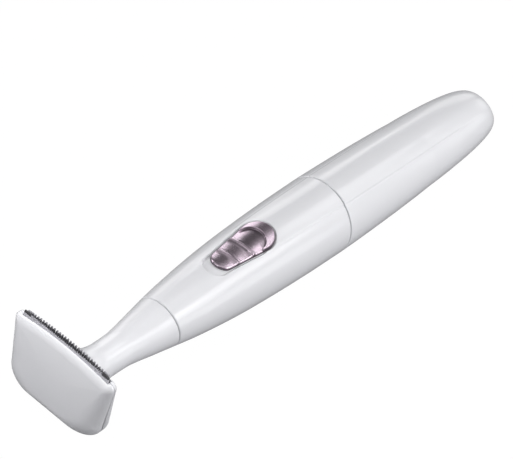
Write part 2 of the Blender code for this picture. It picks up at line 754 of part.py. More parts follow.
def make_neck_shell():
    """Back half of the head, flaring out of the neck, with the plug that goes in the handle."""
    parting = head_outline(PARTING_TOP_HALF, PARTING_BOTTOM_HALF, PARTING_BOTTOM, PARTING_CORNER)
    shoulder = head_outline(SHOULDER_HALF, SHOULDER_HALF, SHOULDER_BOTTOM, SHOULDER_CORNER)
    flare_start = PARTING + FLARE_LENGTH
    rings = []
    for way in FLARE_RING_SHARES:
        spread = smooth(FLARE_SHARES, way)
        x = flare_start - FLARE_LENGTH * way
        radius = handle_radius(x)
        reach = min(max((1 - way) / SHOULDER_REACH_SHARE, 0.0), 1.0)
        outline = [Vector(near).lerp(Vector(far), reach) for near, far in zip(parting, shoulder)]
        ring = []
        for across, height in outline:
            angle = math.atan2(height - HEAD_CENTRE, across)
            y = (1 - spread) * radius * math.cos(angle) + spread * across
            z = (1 - spread) * radius * math.sin(angle) + spread * height
            ring.append((x + PARTING_SLANT_SHARE * spread * z, y, z))
        rings.append(ring)
    angles = [math.atan2(height - HEAD_CENTRE, across) for across, height in shoulder]
    seam = FRONT_SEAM - SEAM_GAP / 2
    for x in np.linspace(NECK_END, seam + COVER_WALL, NECK_STATIONS):
        radius = handle_radius(x)
        rings.append([
            (
                x + slant_at(x) * radius * math.sin(angle),
                radius * math.cos(angle),
                radius * math.sin(angle),
            )
            for angle in angles
        ])
    neck = thicken(lofted("neck_shell", rings), NECK_WALL)
    beyond_seam = slanted(turned("beyond_front_seam", [
        (seam, 0),
        (seam, BELLY_RADIUS),
        (seam + CUT_OVERRUN, BELLY_RADIUS),
        (seam + CUT_OVERRUN, 0),
    ]))
    before_parting = block(
        "before_parting",
        (FACE - CUT_OVERRUN, -BELLY_RADIUS * 2, -BELLY_RADIUS),
        (PARTING, BELLY_RADIUS * 2, HEAD_TOP + CUT_OVERRUN),
        PARTING_SLANT_SHARE,
    )
    cut(neck, beyond_seam, before_parting)

    web_start = FRONT_SEAM - PLUG_ROOT - PLUG_FLANGE
    web_end = FRONT_SEAM - PLUG_ROOT
    web_radius = handle_radius(web_start) - NECK_WALL / 2
    plug_end = FRONT_SEAM + PLUG_LENGTH
    groove = FRONT_SEAM + HEAD_SEAL_FROM_SEAM
    plug = turned("neck_plug", [
        (web_start, PLUG_BORE),
        (web_start, web_radius),
        (web_end, web_radius),
        (web_end, PLUG_RADIUS),
        (groove - SEAL_GROOVE_WIDTH / 2, PLUG_RADIUS),
        (groove - SEAL_GROOVE_WIDTH / 2, PLUG_RADIUS - SEAL_GROOVE_DEPTH),
        (groove + SEAL_GROOVE_WIDTH / 2, PLUG_RADIUS - SEAL_GROOVE_DEPTH),
        (groove + SEAL_GROOVE_WIDTH / 2, PLUG_RADIUS),
        (plug_end, PLUG_RADIUS),
        (plug_end, PLUG_BORE),
    ])
    join(neck, plug)
    for side in (-1, 1):
        post = rod(
            f"comb_post_{side}",
            (COMB_FRONT + PLATE_THICKNESS + CLOSE_GAP, side * COMB_SCREW_OFFSET, COMB_SCREW_HEIGHT),
            "X",
            BOSS_POST_LENGTH,
            BOSS_POST_RADIUS,
        )
        hole = rod(
            f"comb_post_hole_{side}",
            (COMB_FRONT, side * COMB_SCREW_OFFSET, COMB_SCREW_HEIGHT),
            "X",
            COMB_SCREW_LENGTH + FIT_GAP,
            COMB_SCREW_RADIUS + RUNNING_GAP,
            steps=PIN_STEPS,
        )
        join(neck, post)
        cut(neck, hole)
    pin_hole = rod(
        "pivot_socket",
        (PIVOT, 0, -PIVOT_PIN_HALF - RUNNING_GAP),
        "Z",
        2 * (PIVOT_PIN_HALF + RUNNING_GAP),
        PIVOT_PIN_RADIUS + RUNNING_GAP,
    )
    notch = blade_notch("neck_notch", CUTTER_FRONT + PLATE_THICKNESS + CLOSE_GAP)
    cut(neck, pin_hole, notch)
    make_part(neck, HEAD, PEARL_WHITE, 0.24)


def blade_notch(name, rear):
    """Box that opens the top of the head where comb and cutter stand out."""
    return block(
        name,
        (COMB_FRONT - CLOSE_GAP, -COMB_HALF_LENGTH - CLOSE_GAP, COMB_SHOULDER - FIT_GAP),
        (rear, COMB_HALF_LENGTH + CLOSE_GAP, HEAD_TOP + CUT_OVERRUN),
    )


def make_head_cover():
    rings = []
    for step in range(ROUNDING_PARTS + 1):
        angle = math.pi / 2 * step / ROUNDING_PARTS
        shrink = FACE_ROUNDING * (1 - math.sin(angle))
        x = FACE + FACE_ROUNDING * (1 - math.cos(angle))
        outline = head_outline(FACE_TOP_HALF, FACE_BOTTOM_HALF, FACE_BOTTOM, FACE_CORNER, shrink)
        rings.append([(x, across, height) for across, height in outline])
    outline = head_outline(PARTING_TOP_HALF, PARTING_BOTTOM_HALF, PARTING_BOTTOM, PARTING_CORNER)
    for x in (PARTING, PARTING + COVER_WALL):
        rings.append([(x + PARTING_SLANT_SHARE * height, across, height) for across, height in outline])
    cover = thicken(lofted("head_cover", rings, front_face=True), COVER_WALL)
    beyond_parting = block(
        "beyond_parting",
        (PARTING - SEAM_GAP, -BELLY_RADIUS * 2, -BELLY_RADIUS),
        (PARTING + CUT_OVERRUN * 2, BELLY_RADIUS * 2, HEAD_TOP + CUT_OVERRUN),
        PARTING_SLANT_SHARE,
    )
    cut(cover, beyond_parting, blade_notch("cover_notch", PARTING + CUT_OVERRUN))
    make_part(cover, HEAD, PEARL_WHITE, 0.22)


def toothed_outline(teeth, toothed_half, half_length, tip, tooth_height, steps):
    """Plate with teeth along an arched top. Below it narrows by steps of (half width, bottom)."""
    pitch = 2 * toothed_half / teeth
    points = []

    def top(across, drop):
        points.append((across, tip - drop - across**2 / (2 * RIM_ARCH_RADIUS)))

    top(-half_length, 0)
    top(-toothed_half - pitch * (1 - TOOTH_ROOT_SHARE) / 2, 0)
    for tooth in range(teeth):
        middle = -toothed_half + pitch * (tooth + 1 / 2)
        top(middle - pitch * TOOTH_ROOT_SHARE / 2, tooth_height)
        top(middle - pitch * TOOTH_TIP_SHARE / 2, 0)
        top(middle + pitch * TOOTH_TIP_SHARE / 2, 0)
        top(middle + pitch * TOOTH_ROOT_SHARE / 2, tooth_height)
    top(toothed_half + pitch * (1 - TOOTH_ROOT_SHARE) / 2, 0)
    top(half_length, 0)
    side = [(half_length, COMB_SHOULDER)]
    for lower_half, bottom in steps:
        side += [(lower_half, side[-1][1]), (lower_half, bottom)]
    return points + side + [(-across, height) for across, height in side[::-1]]


def make_comb_and_cutter():
    outline = toothed_outline(
        COMB_TEETH, COMB_TOOTHED_HALF, COMB_HALF_LENGTH, COMB_TIP,
        COMB_TOOTH_HEIGHT, [(COMB_LOWER_HALF, COMB_BOTTOM)],
    )
    hole_radius = COMB_SCREW_RADIUS + RUNNING_GAP
    holes = [
        circle((side * COMB_SCREW_OFFSET, COMB_SCREW_HEIGHT), hole_radius, PIN_STEPS)
        for side in (-1, 1)
    ]
    comb = flat_piece("fixed_comb", [outline, *holes], PLATE_THICKNESS, COMB_FRONT, upright=True)
    make_part(comb, HEAD, COMB_STEEL, 0.3, 1.0)
    outline = toothed_outline(
        CUTTER_TEETH, CUTTER_TOOTHED_HALF, CUTTER_HALF_LENGTH, COMB_TIP - CUTTER_TIP_DROP,
        CUTTER_TOOTH_HEIGHT,
        [(CUTTER_LOWER_HALF, CUTTER_BOTTOM), (CARRIER_HALF_LENGTH, CUTTER_TAB_BOTTOM)],
    )
    cutter = flat_piece("moving_cutter", [outline], PLATE_THICKNESS, CUTTER_FRONT, upright=True)
    make_part(cutter, CUTTER, CUTTER_STEEL, 0.35, 1.0)
    for side, name in ((1, "comb_screw_left"), (-1, "comb_screw_right")):
        head = rod(
            name,
            (COMB_FRONT - COMB_SCREW_SEAT - COMB_SCREW_HEAD, side * COMB_SCREW_OFFSET, COMB_SCREW_HEIGHT),
            "X",
            COMB_SCREW_HEAD,
            COMB_SCREW_HEAD_RADIUS,
        )
        shank = rod(
            f"{name}_shank",
            (COMB_FRONT - COMB_SCREW_SEAT - COMB_SCREW_HEAD / 2, side * COMB_SCREW_OFFSET, COMB_SCREW_HEIGHT),
            "X",
            COMB_SCREW_LENGTH,
            COMB_SCREW_RADIUS,
            steps=PIN_STEPS,
        )
        make_part(join(head, shank), HEAD, SCREW_STEEL, 0.35, 1.0)


def make_carrier():
    flange_rear = CARRIER_FRONT + CARRIER_THICKNESS
    block_rear = CARRIER_FRONT + CARRIER_BLOCK_DEPTH
    carrier = block(
        "cutter_carrier",
        (CARRIER_FRONT, -CARRIER_HALF_LENGTH, CARRIER_WAIST),
        (flange_rear, CARRIER_HALF_LENGTH, CARRIER_TOP),
    )
    foot = block(
        "carrier_foot",
        (CARRIER_FRONT, -CARRIER_BLOCK_HALF, CARRIER_BLOCK_BOTTOM),
        (block_rear, CARRIER_BLOCK_HALF, CARRIER_WAIST + CARRIER_THICKNESS / 2),
    )
    slot_half_height = PEG_RADIUS + SLOT_HEIGHT_MARGIN
    slot = block(
        "carrier_slot",
        (CARRIER_FRONT - CUT_OVERRUN, -PEG_RADIUS - RUNNING_GAP, PEG_HEIGHT - slot_half_height),
        (block_rear + CUT_OVERRUN, PEG_RADIUS + RUNNING_GAP, PEG_HEIGHT + slot_half_height),
    )
    join(carrier, foot)
    cut(carrier, slot)
    make_part(carrier, CUTTER, DARK_PLASTIC, 0.5)

    middle = flange_rear + CLOSE_GAP
    front_edge = []
    for i in range(LEAF_PARTS + 1):
        across = LEAF_HALF_LENGTH * (2 * i / LEAF_PARTS - 1)
        front_edge.append((middle + LEAF_BOW * (across / LEAF_HALF_LENGTH) ** 2, across))
    rear_edge = [(x + LEAF_THICKNESS, across) for x, across in front_edge[::-1]]
    leaf = flat_piece("blade_spring", [front_edge + rear_edge], LEAF_HEIGHT, LEAF_BOTTOM)
    make_part(leaf, HEAD, SPRING_STEEL, 0.3, 1.0)


def make_lever():
    riser_front = CARRIER_FRONT + CARRIER_BLOCK_DEPTH + FIT_GAP
    riser_rear = riser_front + RISER_THICKNESS
    fork_bridge_end = FORK_FRONT + FORK_BRIDGE
    slot_half = 2 * ECCENTRIC_THROW + ECCENTRIC_PIN_RADIUS + RUNNING_GAP
    fork_half = slot_half + FORK_PRONG
    lever = block(
        "drive_lever",
        (riser_front, -LEVER_HALF_WIDTH, -LEVER_HALF_HEIGHT),
        (FORK_FRONT + FORK_BRIDGE / 2, LEVER_HALF_WIDTH, LEVER_HALF_HEIGHT),
    )
    riser = block(
        "lever_riser",
        (riser_front, -LEVER_HALF_WIDTH, 0),
        (riser_rear, LEVER_HALF_WIDTH, PEG_HEIGHT + PEG_RADIUS + CLOSE_GAP),
    )
    peg = rod(
        "lever_peg",
        (CARRIER_FRONT + CLOSE_GAP, 0, PEG_HEIGHT),
        "X",
        CARRIER_BLOCK_DEPTH + FIT_GAP,
        PEG_RADIUS,
    )
    eye_half = LEVER_HALF_HEIGHT + FIT_GAP
    eye = rod("lever_eye", (PIVOT, 0, -eye_half), "Z", 2 * eye_half, LEVER_EYE_RADIUS)
    fork = block(
        "lever_fork",
        (FORK_FRONT, -fork_half, -FORK_HALF_HEIGHT),
        (fork_bridge_end + PIN_TIP_CLEARANCE + FORK_LENGTH, fork_half, FORK_HALF_HEIGHT),
    )
    gap = block(
        "fork_gap",
        (fork_bridge_end, -slot_half, -FORK_HALF_HEIGHT - CUT_OVERRUN),
        (HUB_REAR, slot_half, FORK_HALF_HEIGHT + CUT_OVERRUN),
    )
    pivot_hole = rod(
        "lever_pivot_hole",
        (PIVOT, 0, -eye_half - CUT_OVERRUN),
        "Z",
        2 * (eye_half + CUT_OVERRUN),
        PIVOT_PIN_RADIUS + RUNNING_GAP,
    )
    cut(fork, gap)
    join(lever, riser, peg, eye, fork)
    cut(lever, pivot_hole)
    make_part(lever, LEVER, LEVER_PLASTIC, 0.45)

    pin_half = PIVOT_PIN_HALF
    pin = rod("pivot_pin", (PIVOT, 0, -pin_half), "Z", 2 * pin_half, PIVOT_PIN_RADIUS)
    make_part(pin, HEAD, SPRING_STEEL, 0.25, 1.0)


def ring(name, x, radius):
    section = circle((x, radius), SEAL_WIRE_RADIUS, SEAL_PARTS)
    return turned(name, section)


def make_seals():
    groove_floor = PLUG_RADIUS - SEAL_GROOVE_DEPTH
    head_seal = ring("head_seal", FRONT_SEAM + HEAD_SEAL_FROM_SEAM, groove_floor + SEAL_WIRE_RADIUS + RUNNING_GAP / 2)
    make_part(head_seal, HEAD, SEAL_RUBBER, 0.7)
    groove_floor = SLEEVE_RADIUS - SEAL_GROOVE_DEPTH
    cap_seal = ring("cap_seal", REAR_SEAM + CAP_SEAL_FROM_SEAM, groove_floor + SEAL_WIRE_RADIUS + RUNNING_GAP / 2)
    make_part(cap_seal, HANDLE, SEAL_RUBBER, 0.7)


def flattened(piece, half_height, name):
    """Cut flats on the top and bottom of a turned motor piece."""
    for side in (-1, 1):
        low, high = sorted((side * half_height, side * (MOTOR_RADIUS + CUT_OVERRUN)))
        slab = block(
            f"{name}_{side}",
            (MOTOR - CUT_OVERRUN, -MOTOR_RADIUS - CUT_OVERRUN, low),
            (END_CAP_END + CUT_OVERRUN, MOTOR_RADIUS + CUT_OVERRUN, high),
        )
        cut(piece, slab)
    return piece


def screw_holes(piece, name):
    for side in (-1, 1):
        hole = rod(
            f"{name}_{side}",
            (CRADLE_FRONT - CUT_OVERRUN, side * MOTOR_SCREW_OFFSET, 0),
            "X",
            CRADLE_FRONT_WALL + CAN_WALL + CUT_OVERRUN + CUT_OVERRUN,
            MOTOR_SCREW_RADIUS + RUNNING_GAP,
            steps=PIN_STEPS,
        )
        cut(piece, hole)


def make_motor():
    front_inner = MOTOR + CAN_WALL
    can = turned("motor_can", [
        (MOTOR - BOSS_LENGTH, SHAFT_RADIUS + RUNNING_GAP),
        (MOTOR - BOSS_LENGTH, BOSS_RADIUS),
        (MOTOR, BOSS_RADIUS),
        (MOTOR, MOTOR_RADIUS),
        (MOTOR_END, MOTOR_RADIUS),
        (MOTOR_END, SHAFT_RADIUS + RUNNING_GAP),
    ])
    flattened(can, MOTOR_HALF_HEIGHT, "can_flat")
    hollow = turned("can_hollow", [
        (front_inner, 0),
        (front_inner, MOTOR_RADIUS - CAN_WALL),
        (MOTOR_END + CUT_OVERRUN, MOTOR_RADIUS - CAN_WALL),
        (MOTOR_END + CUT_OVERRUN, 0),
    ])
    flattened(hollow, MOTOR_HALF_HEIGHT - CAN_WALL, "hollow_flat")
    cut(can, hollow)
    screw_holes(can, "can_screw_hole")
    make_part(can, HANDLE, ZINC, 0.35, 1.0)

    cap_start = MOTOR_END + CLOSE_GAP
    end_cap = turned("motor_end_cap", [
        (cap_start, SHAFT_RADIUS + RUNNING_GAP),
        (cap_start, MOTOR_RADIUS),
        (END_CAP_END, MOTOR_RADIUS),
        (END_CAP_END, SHAFT_RADIUS + RUNNING_GAP),
    ])
    flattened(end_cap, MOTOR_HALF_HEIGHT, "end_cap_flat")
    make_part(end_cap, HANDLE, DARK_PLASTIC, 0.5)

    magnet_outer = MOTOR_RADIUS - CAN_WALL - RUNNING_GAP
    magnet_inner = magnet_outer - MAGNET_THICKNESS
    magnet_start = front_inner + FIT_GAP
    magnet_end = MOTOR_END - FIT_GAP
    for side, name in ((1, "motor_magnet_left"), (-1, "motor_magnet_right")):
        magnet = turned(name, [
            (magnet_start, magnet_inner),
            (magnet_start, magnet_outer),
            (magnet_end, magnet_outer),
            (magnet_end, magnet_inner),
        ])
        low, high = sorted((0, side * MOTOR_RADIUS))
        keep = block(
            f"{name}_span",
            (MOTOR, low, -MAGNET_HALF_HEIGHT),
            (MOTOR_END, high, MAGNET_HALF_HEIGHT),
        )
        make_part(combine(magnet, keep, "INTERSECT"), HANDLE, MAGNET_GREY, 0.6)

    screw_start = CRADLE_FRONT - CLOSE_GAP
    for side, name in ((1, "motor_screw_left"), (-1, "motor_screw_right")):
        head = rod(
            name,
            (screw_start - MOTOR_SCREW_HEAD, side * MOTOR_SCREW_OFFSET, 0),
            "X",
            MOTOR_SCREW_HEAD,
            MOTOR_SCREW_HEAD_RADIUS,
        )
        shank = rod(
            f"{name}_shank",
            (screw_start - MOTOR_SCREW_HEAD / 2, side * MOTOR_SCREW_OFFSET, 0),
            "X",
            MOTOR_SCREW_HEAD / 2 + CRADLE_FRONT_WALL + CLOSE_GAP + CAN_WALL,
            MOTOR_SCREW_RADIUS,
            steps=PIN_STEPS,
        )
        make_part(join(head, shank), HANDLE, SCREW_STEEL, 0.35, 1.0)

    for side, name in ((1, "motor_terminal_left"), (-1, "motor_terminal_right")):
        low, high = sorted((side * TERMINAL_OFFSET, side * (TERMINAL_OFFSET + TERMINAL_THICKNESS)))
        tab = block(
            name,
            (END_CAP_END + RUNNING_GAP, low, -TERMINAL_HEIGHT / 2),
            (END_CAP_END + TERMINAL_LENGTH, high, TERMINAL_HEIGHT / 2),
        )
        make_part(tab, HANDLE, BRASS, 0.35, 1.0)


def make_shaft():
    shaft_start = HUB_REAR - SHAFT_SINK
    shaft_end = END_CAP_END + FIT_GAP
    shaft = rod("motor_shaft", (shaft_start, 0, 0), "X", shaft_end - shaft_start, SHAFT_RADIUS)
    make_part(shaft, SHAFT, SPRING_STEEL, 0.25, 1.0)

    rotor_middle = (MOTOR + CAN_WALL + MOTOR_END) / 2
    bore = SHAFT_RADIUS + RUNNING_GAP
    rotor = turned("motor_rotor", [
        (rotor_middle - ROTOR_LENGTH / 2, bore),
        (rotor_middle - ROTOR_LENGTH / 2, ROTOR_RADIUS),
        (rotor_middle + ROTOR_LENGTH / 2, ROTOR_RADIUS),
        (rotor_middle + ROTOR_LENGTH / 2, bore),
    ])
    make_part(rotor, SHAFT, COPPER, 0.4, 1.0)

    hub = turned("eccentric_hub", [
        (HUB_FRONT, 0),
        (HUB_FRONT, HUB_RADIUS),
        (HUB_REAR, HUB_RADIUS),
        (HUB_REAR, 0),
    ])
    shaft_hole = rod(
        "hub_shaft_hole",
        (shaft_start - RUNNING_GAP, 0, 0),
        "X",
        SHAFT_SINK + RUNNING_GAP + CUT_OVERRUN,
        SHAFT_RADIUS + RUNNING_GAP,
    )
    pin_hole = rod(
        "hub_pin_hole",
        (HUB_FRONT - CUT_OVERRUN, 0, ECCENTRIC_THROW),
        "X",
        PIN_SINK + CUT_OVERRUN,
        ECCENTRIC_PIN_RADIUS + RUNNING_GAP,
    )
    cut(hub, shaft_hole, pin_hole)
    make_part(hub, SHAFT, LEVER_PLASTIC, 0.45)
    pin = rod(
        "eccentric_pin",
        (PIN_TIP, 0, ECCENTRIC_THROW),
        "X",
        PIN_REACH + PIN_SINK - RUNNING_GAP,
        ECCENTRIC_PIN_RADIUS,
    )
    make_part(pin, SHAFT, SPRING_STEEL, 0.25, 1.0)


def make_cradle():
    """Trough under the motor, with a front wall that the motor is screwed to."""
    rim_start = CRADLE_FRONT + CRADLE_FRONT_WALL
    cradle = turned("motor_cradle", [
        (CRADLE_FRONT, CRADLE_HOLE_RADIUS),
        (CRADLE_FRONT, CRADLE_OUTER),
        (CRADLE_END, CRADLE_OUTER),
        (CRADLE_END, CRADLE_RADIUS),
        (rim_start, CRADLE_RADIUS),
        (rim_start, CRADLE_HOLE_RADIUS),
    ])
    above = block(
        "cradle_opening",
        (rim_start, -BELLY_RADIUS, CRADLE_RIM_HEIGHT),
        (CRADLE_END + CUT_OVERRUN, BELLY_RADIUS, BELLY_RADIUS),
    )
    lead_hole = rod(
        "cradle_lead_hole",
        (LEAD_PLACE, 0, -BELLY_RADIUS),
        "Z",
        BELLY_RADIUS - CRADLE_RADIUS / 2,
        LEAD_HOLE_RADIUS,
    )
    cut(cradle, above, lead_hole)
    screw_holes(cradle, "cradle_screw_hole")
    make_part(cradle, HANDLE, CRADLE_GREY, 0.5)


def make_battery_tube():
    """Tube round the cell, with a collar in the housing's end and a sleeve the cap slides over."""
    web = REAR_SEAM - COLLAR_LENGTH
    hole = CONTACT_DIMPLE_RADIUS + TUBE_HOLE_MARGIN
    collar_radius = BELLY_RADIUS - HOUSING_WALL - FIT_GAP
    sleeve_inner = SLEEVE_RADIUS - SLEEVE_WALL
    groove = REAR_SEAM + CAP_SEAL_FROM_SEAM
    groove_radius = SLEEVE_RADIUS - SEAL_GROOVE_DEPTH
    tube = turned("battery_tube", [
        (TUBE, hole),
        (TUBE, TUBE_OUTER),
        (web, TUBE_OUTER),
        (web, collar_radius),
        (REAR_SEAM - SEAM_GAP, collar_radius),
        (REAR_SEAM - SEAM_GAP, SLEEVE_RADIUS),
        (groove - SEAL_GROOVE_WIDTH / 2, SLEEVE_RADIUS),
        (groove - SEAL_GROOVE_WIDTH / 2, groove_radius),
        (groove + SEAL_GROOVE_WIDTH / 2, groove_radius),
        (groove + SEAL_GROOVE_WIDTH / 2, SLEEVE_RADIUS),
        (TUBE_END, SLEEVE_RADIUS),
        (TUBE_END, sleeve_inner),
        (web + COLLAR_WEB, sleeve_inner),
        (web + COLLAR_WEB, TUBE_OUTER),
        (TUBE_END, TUBE_OUTER),
        (TUBE_END, TUBE_RADIUS),
        (TUBE + BULKHEAD, TUBE_RADIUS),
        (TUBE + BULKHEAD, hole),
    ])
    strip_slot = block(
        "strip_slot",
        (web - CUT_OVERRUN, -STRIP_HALF_WIDTH - FIT_GAP, STRIP_TOP - CONTACT_THICKNESS - FIT_GAP),
        (web + COLLAR_WEB + CUT_OVERRUN, STRIP_HALF_WIDTH + FIT_GAP, STRIP_TOP + CLOSE_GAP),
    )
    make_part(cut(tube, strip_slot), HANDLE, CRADLE_GREY, 0.5)


def make_cell():
    nub = CELL_BODY - CELL_NUB_LENGTH
    cell = turned("battery_cell", [
        (nub, 0),
        (nub, CELL_NUB_RADIUS),
        (CELL_BODY, CELL_NUB_RADIUS),
        (CELL_BODY, CELL_RADIUS - CELL_EDGE),
        (CELL_BODY + CELL_EDGE, CELL_RADIUS),
        (CELL_END - CELL_EDGE, CELL_RADIUS),
        (CELL_END, CELL_RADIUS - CELL_EDGE),
        (CELL_END, 0),
    ])
    make_part(cell, HANDLE, CELL_GREEN, 0.35)


def make_positive_contact():
    dimple_end = CELL_BODY - CELL_NUB_LENGTH - CLOSE_GAP
    contact = turned("positive_contact", [
        (CONTACT_FRONT, 0),
        (CONTACT_FRONT, CONTACT_DISC_RADIUS),
        (CONTACT_FRONT + CONTACT_THICKNESS, CONTACT_DISC_RADIUS),
        (CONTACT_FRONT + CONTACT_THICKNESS, CONTACT_DIMPLE_RADIUS),
        (dimple_end, CONTACT_DIMPLE_RADIUS),
        (dimple_end, 0),
    ])
    make_part(contact, HANDLE, SPRING_STEEL, 0.35, 1.0)


def make_negative_strip():
    strip = block(
        "negative_strip",
        (LEAD_PLACE - NEGATIVE_STRIP_LEAD, -STRIP_HALF_WIDTH, STRIP_TOP - CONTACT_THICKNESS),
        (TUBE_END + FIT_GAP, STRIP_HALF_WIDTH, STRIP_TOP),
    )
    make_part(strip, HANDLE, SPRING_STEEL, 0.35, 1.0)


def make_switch_plate():
    """Insulating plate on the cradle's rims, with the two strips the switch bridges."""
    plate = block(
        "switch_plate",
        (SWITCH_PLATE, -SWITCH_PLATE_HALF_WIDTH, SWITCH_PLATE_BOTTOM),
        (CONTACT_FRONT - FIT_GAP, SWITCH_PLATE_HALF_WIDTH, SWITCH_PLATE_BOTTOM + SWITCH_PLATE_THICKNESS),
    )
    leg_rear = LEAD_PLACE + CONTACT_THICKNESS / 2
    leg_front = LEAD_PLACE - CONTACT_THICKNESS / 2
    leg_slot = block(
        "leg_slot",
        (leg_front - FIT_GAP, LEG_OFFSET - FIT_GAP, SWITCH_PLATE_BOTTOM - CUT_OVERRUN),
        (leg_rear + FIT_GAP, LEG_OFFSET + LEG_WIDTH + FIT_GAP, SWITCH_STRIP_BOTTOM),
    )
    make_part(cut(plate, leg_slot), HANDLE, BOARD_BROWN, 0.6)

    battery_strip = block(
        "battery_strip",
        (BATTERY_STRIP, -STRIP_HALF_WIDTH, SWITCH_STRIP_BOTTOM),
        (CONTACT_FRONT - CLOSE_GAP, STRIP_HALF_WIDTH, SWITCH_STRIP_TOP),
    )
    make_part(battery_strip, HANDLE, BRASS, 0.35, 1.0)

    leg_side = LEG_OFFSET + LEG_WIDTH
    motor_strip = flat_piece(
        "motor_strip",
        [[
            (SWITCH_PLATE, -STRIP_HALF_WIDTH),
            (SWITCH_PLATE + MOTOR_STRIP_WIDTH, -STRIP_HALF_WIDTH),
            (SWITCH_PLATE + MOTOR_STRIP_WIDTH, LEG_OFFSET),
            (leg_rear, LEG_OFFSET),
            (leg_rear, leg_side),
            (SWITCH_PLATE, leg_side),
        ]],
        CONTACT_THICKNESS,
        SWITCH_STRIP_BOTTOM,
    )
    leg = block(
        "motor_strip_leg",
        (leg_front, LEG_OFFSET, LEG_BOTTOM),
        (leg_rear, leg_side, SWITCH_STRIP_TOP - CONTACT_THICKNESS / 2),
    )
    make_part(join(motor_strip, leg), HANDLE, BRASS, 0.35, 1.0)


def make_leads():
    """Short wires: one up to the motor strip's leg, one down to the negative strip."""
    start = END_CAP_END + TERMINAL_LENGTH + RUNNING_GAP
    side = TERMINAL_OFFSET + TERMINAL_THICKNESS / 2
    leg_middle = LEG_OFFSET + LEG_WIDTH / 2
    up = wire("lead_positive", [
        (start, side, 0),
        (start + LEAD_RADIUS * 2, side, 0),
        (LEAD_PLACE, leg_middle, LEAD_BEND),
        (LEAD_PLACE, leg_middle, LEG_BOTTOM - RUNNING_GAP),
    ], LEAD_RADIUS)
    make_part(up, HANDLE, RED_WIRE, 0.5)
    down = wire("lead_negative", [
        (start, -side, 0),
        (start + LEAD_RADIUS * 2, -side, 0),
        (LEAD_PLACE, -side / 2, -CRADLE_RADIUS / 2),
        (LEAD_PLACE, 0, -CRADLE_RADIUS + LEAD_BEND),
        (LEAD_PLACE, 0, STRIP_TOP + RUNNING_GAP),
    ], LEAD_RADIUS)
    make_part(down, HANDLE, BLACK_WIRE, 0.5)


def make_switch():
    """Button with its stem, the carriage on the stem, and the bridge under the carriage."""
    underside = RECESS_FLOOR + FIT_GAP
    button = flat_piece(
        "switch_button",
        [teardrop(BUTTON_FRONT, BUTTON_REAR, BUTTON_FRONT_RADIUS, BUTTON_REAR_RADIUS)],
        BELLY_RADIUS + BUTTON_PROUD - underside,
        underside,
    )
    places = np.linspace(BUTTON_FRONT - CUT_OVERRUN, BUTTON_REAR + CUT_OVERRUN, CAVITY_STATIONS)
    outline = [(x, handle_radius(x) + BUTTON_PROUD) for x in places]
    dome = turned("button_top", outline + [(places[-1], 0), (places[0], 0)], SHELL_STEPS)
    stem_end = CARRIAGE_BOTTOM + CARRIAGE_FLOOR + FIT_GAP
    stem = block(
        "button_stem",
        (STEM, -STEM_HALF_WIDTH, stem_end),
        (STEM + STEM_LENGTH, STEM_HALF_WIDTH, underside + BUTTON_PROUD),
    )
    combine(button, dome, "INTERSECT")
    join(button, stem)
    for share in SCOOP_SHARES:
        x = BUTTON_FRONT + BUTTON_LENGTH * share
        scoop = rod(
            f"button_scoop_{int(share * 100)}",
            (x, -BELLY_RADIUS, handle_radius(x) + BUTTON_PROUD + SCOOP_RADIUS - SCOOP_DEPTH),
            "Y",
            2 * BELLY_RADIUS,
            SCOOP_RADIUS,
            steps=ROUND_STEPS,
        )
        cut(button, scoop)
    make_part(smooth_shaded(button), SWITCH, MAUVE, 0.25, 0.8)

    carriage_front = STEM - (CARRIAGE_LENGTH - STEM_LENGTH) / 2
    carriage = block(
        "switch_carriage",
        (carriage_front, -CARRIAGE_HALF_WIDTH, CARRIAGE_BOTTOM),
        (carriage_front + CARRIAGE_LENGTH, CARRIAGE_HALF_WIDTH, CARRIAGE_BOTTOM + CARRIAGE_HEIGHT),
    )
    socket = block(
        "carriage_socket",
        (STEM - RUNNING_GAP, -STEM_HALF_WIDTH - RUNNING_GAP, stem_end - FIT_GAP),
        (STEM + STEM_LENGTH + RUNNING_GAP, STEM_HALF_WIDTH + RUNNING_GAP, RECESS_FLOOR),
    )
    make_part(cut(carriage, socket), SWITCH, DARK_PLASTIC, 0.5)

    bridge_front = STEM + (STEM_LENGTH - BRIDGE_LENGTH) / 2
    bridge = block(
        "switch_contact",
        (bridge_front, -BRIDGE_HALF_WIDTH, SWITCH_STRIP_TOP + CLOSE_GAP),
        (bridge_front + BRIDGE_LENGTH, BRIDGE_HALF_WIDTH, CARRIAGE_BOTTOM - FIT_GAP),
    )
    make_part(bridge, SWITCH, BRASS, 0.35, 1.0)


def make_spring_holder():
    """Insert in the cap that backs the cell's spring and keeps the cell on the axis."""
    sleeve_start = HOLDER_DISC_START - HOLDER_SLEEVE_LENGTH
    holder = turned("spring_holder", [
        (sleeve_start, TUBE_RADIUS),
        (sleeve_start, TUBE_RADIUS + HOLDER_WALL),
        (HOLDER_DISC_START, TUBE_RADIUS + HOLDER_WALL),
        (HOLDER_DISC_START, cap_inner_radius(HOLDER_END) - FIT_GAP),
        (HOLDER_END, cap_inner_radius(HOLDER_END) - FIT_GAP),
        (HOLDER_END, 0),
        (HOLDER_DISC_START, 0),
        (HOLDER_DISC_START, TUBE_RADIUS),
    ])
    tab_slot = block(
        "tab_slot",
        (SPRING_SEAT - FIT_GAP, -STRIP_HALF_WIDTH - FIT_GAP, -TUBE_OUTER - CUT_OVERRUN),
        (HOLDER_DISC_START + RUNNING_GAP, STRIP_HALF_WIDTH + FIT_GAP, -TUBE_RADIUS / 2),
    )
    make_part(cut(holder, tab_slot), CAP, CRADLE_GREY, 0.5)


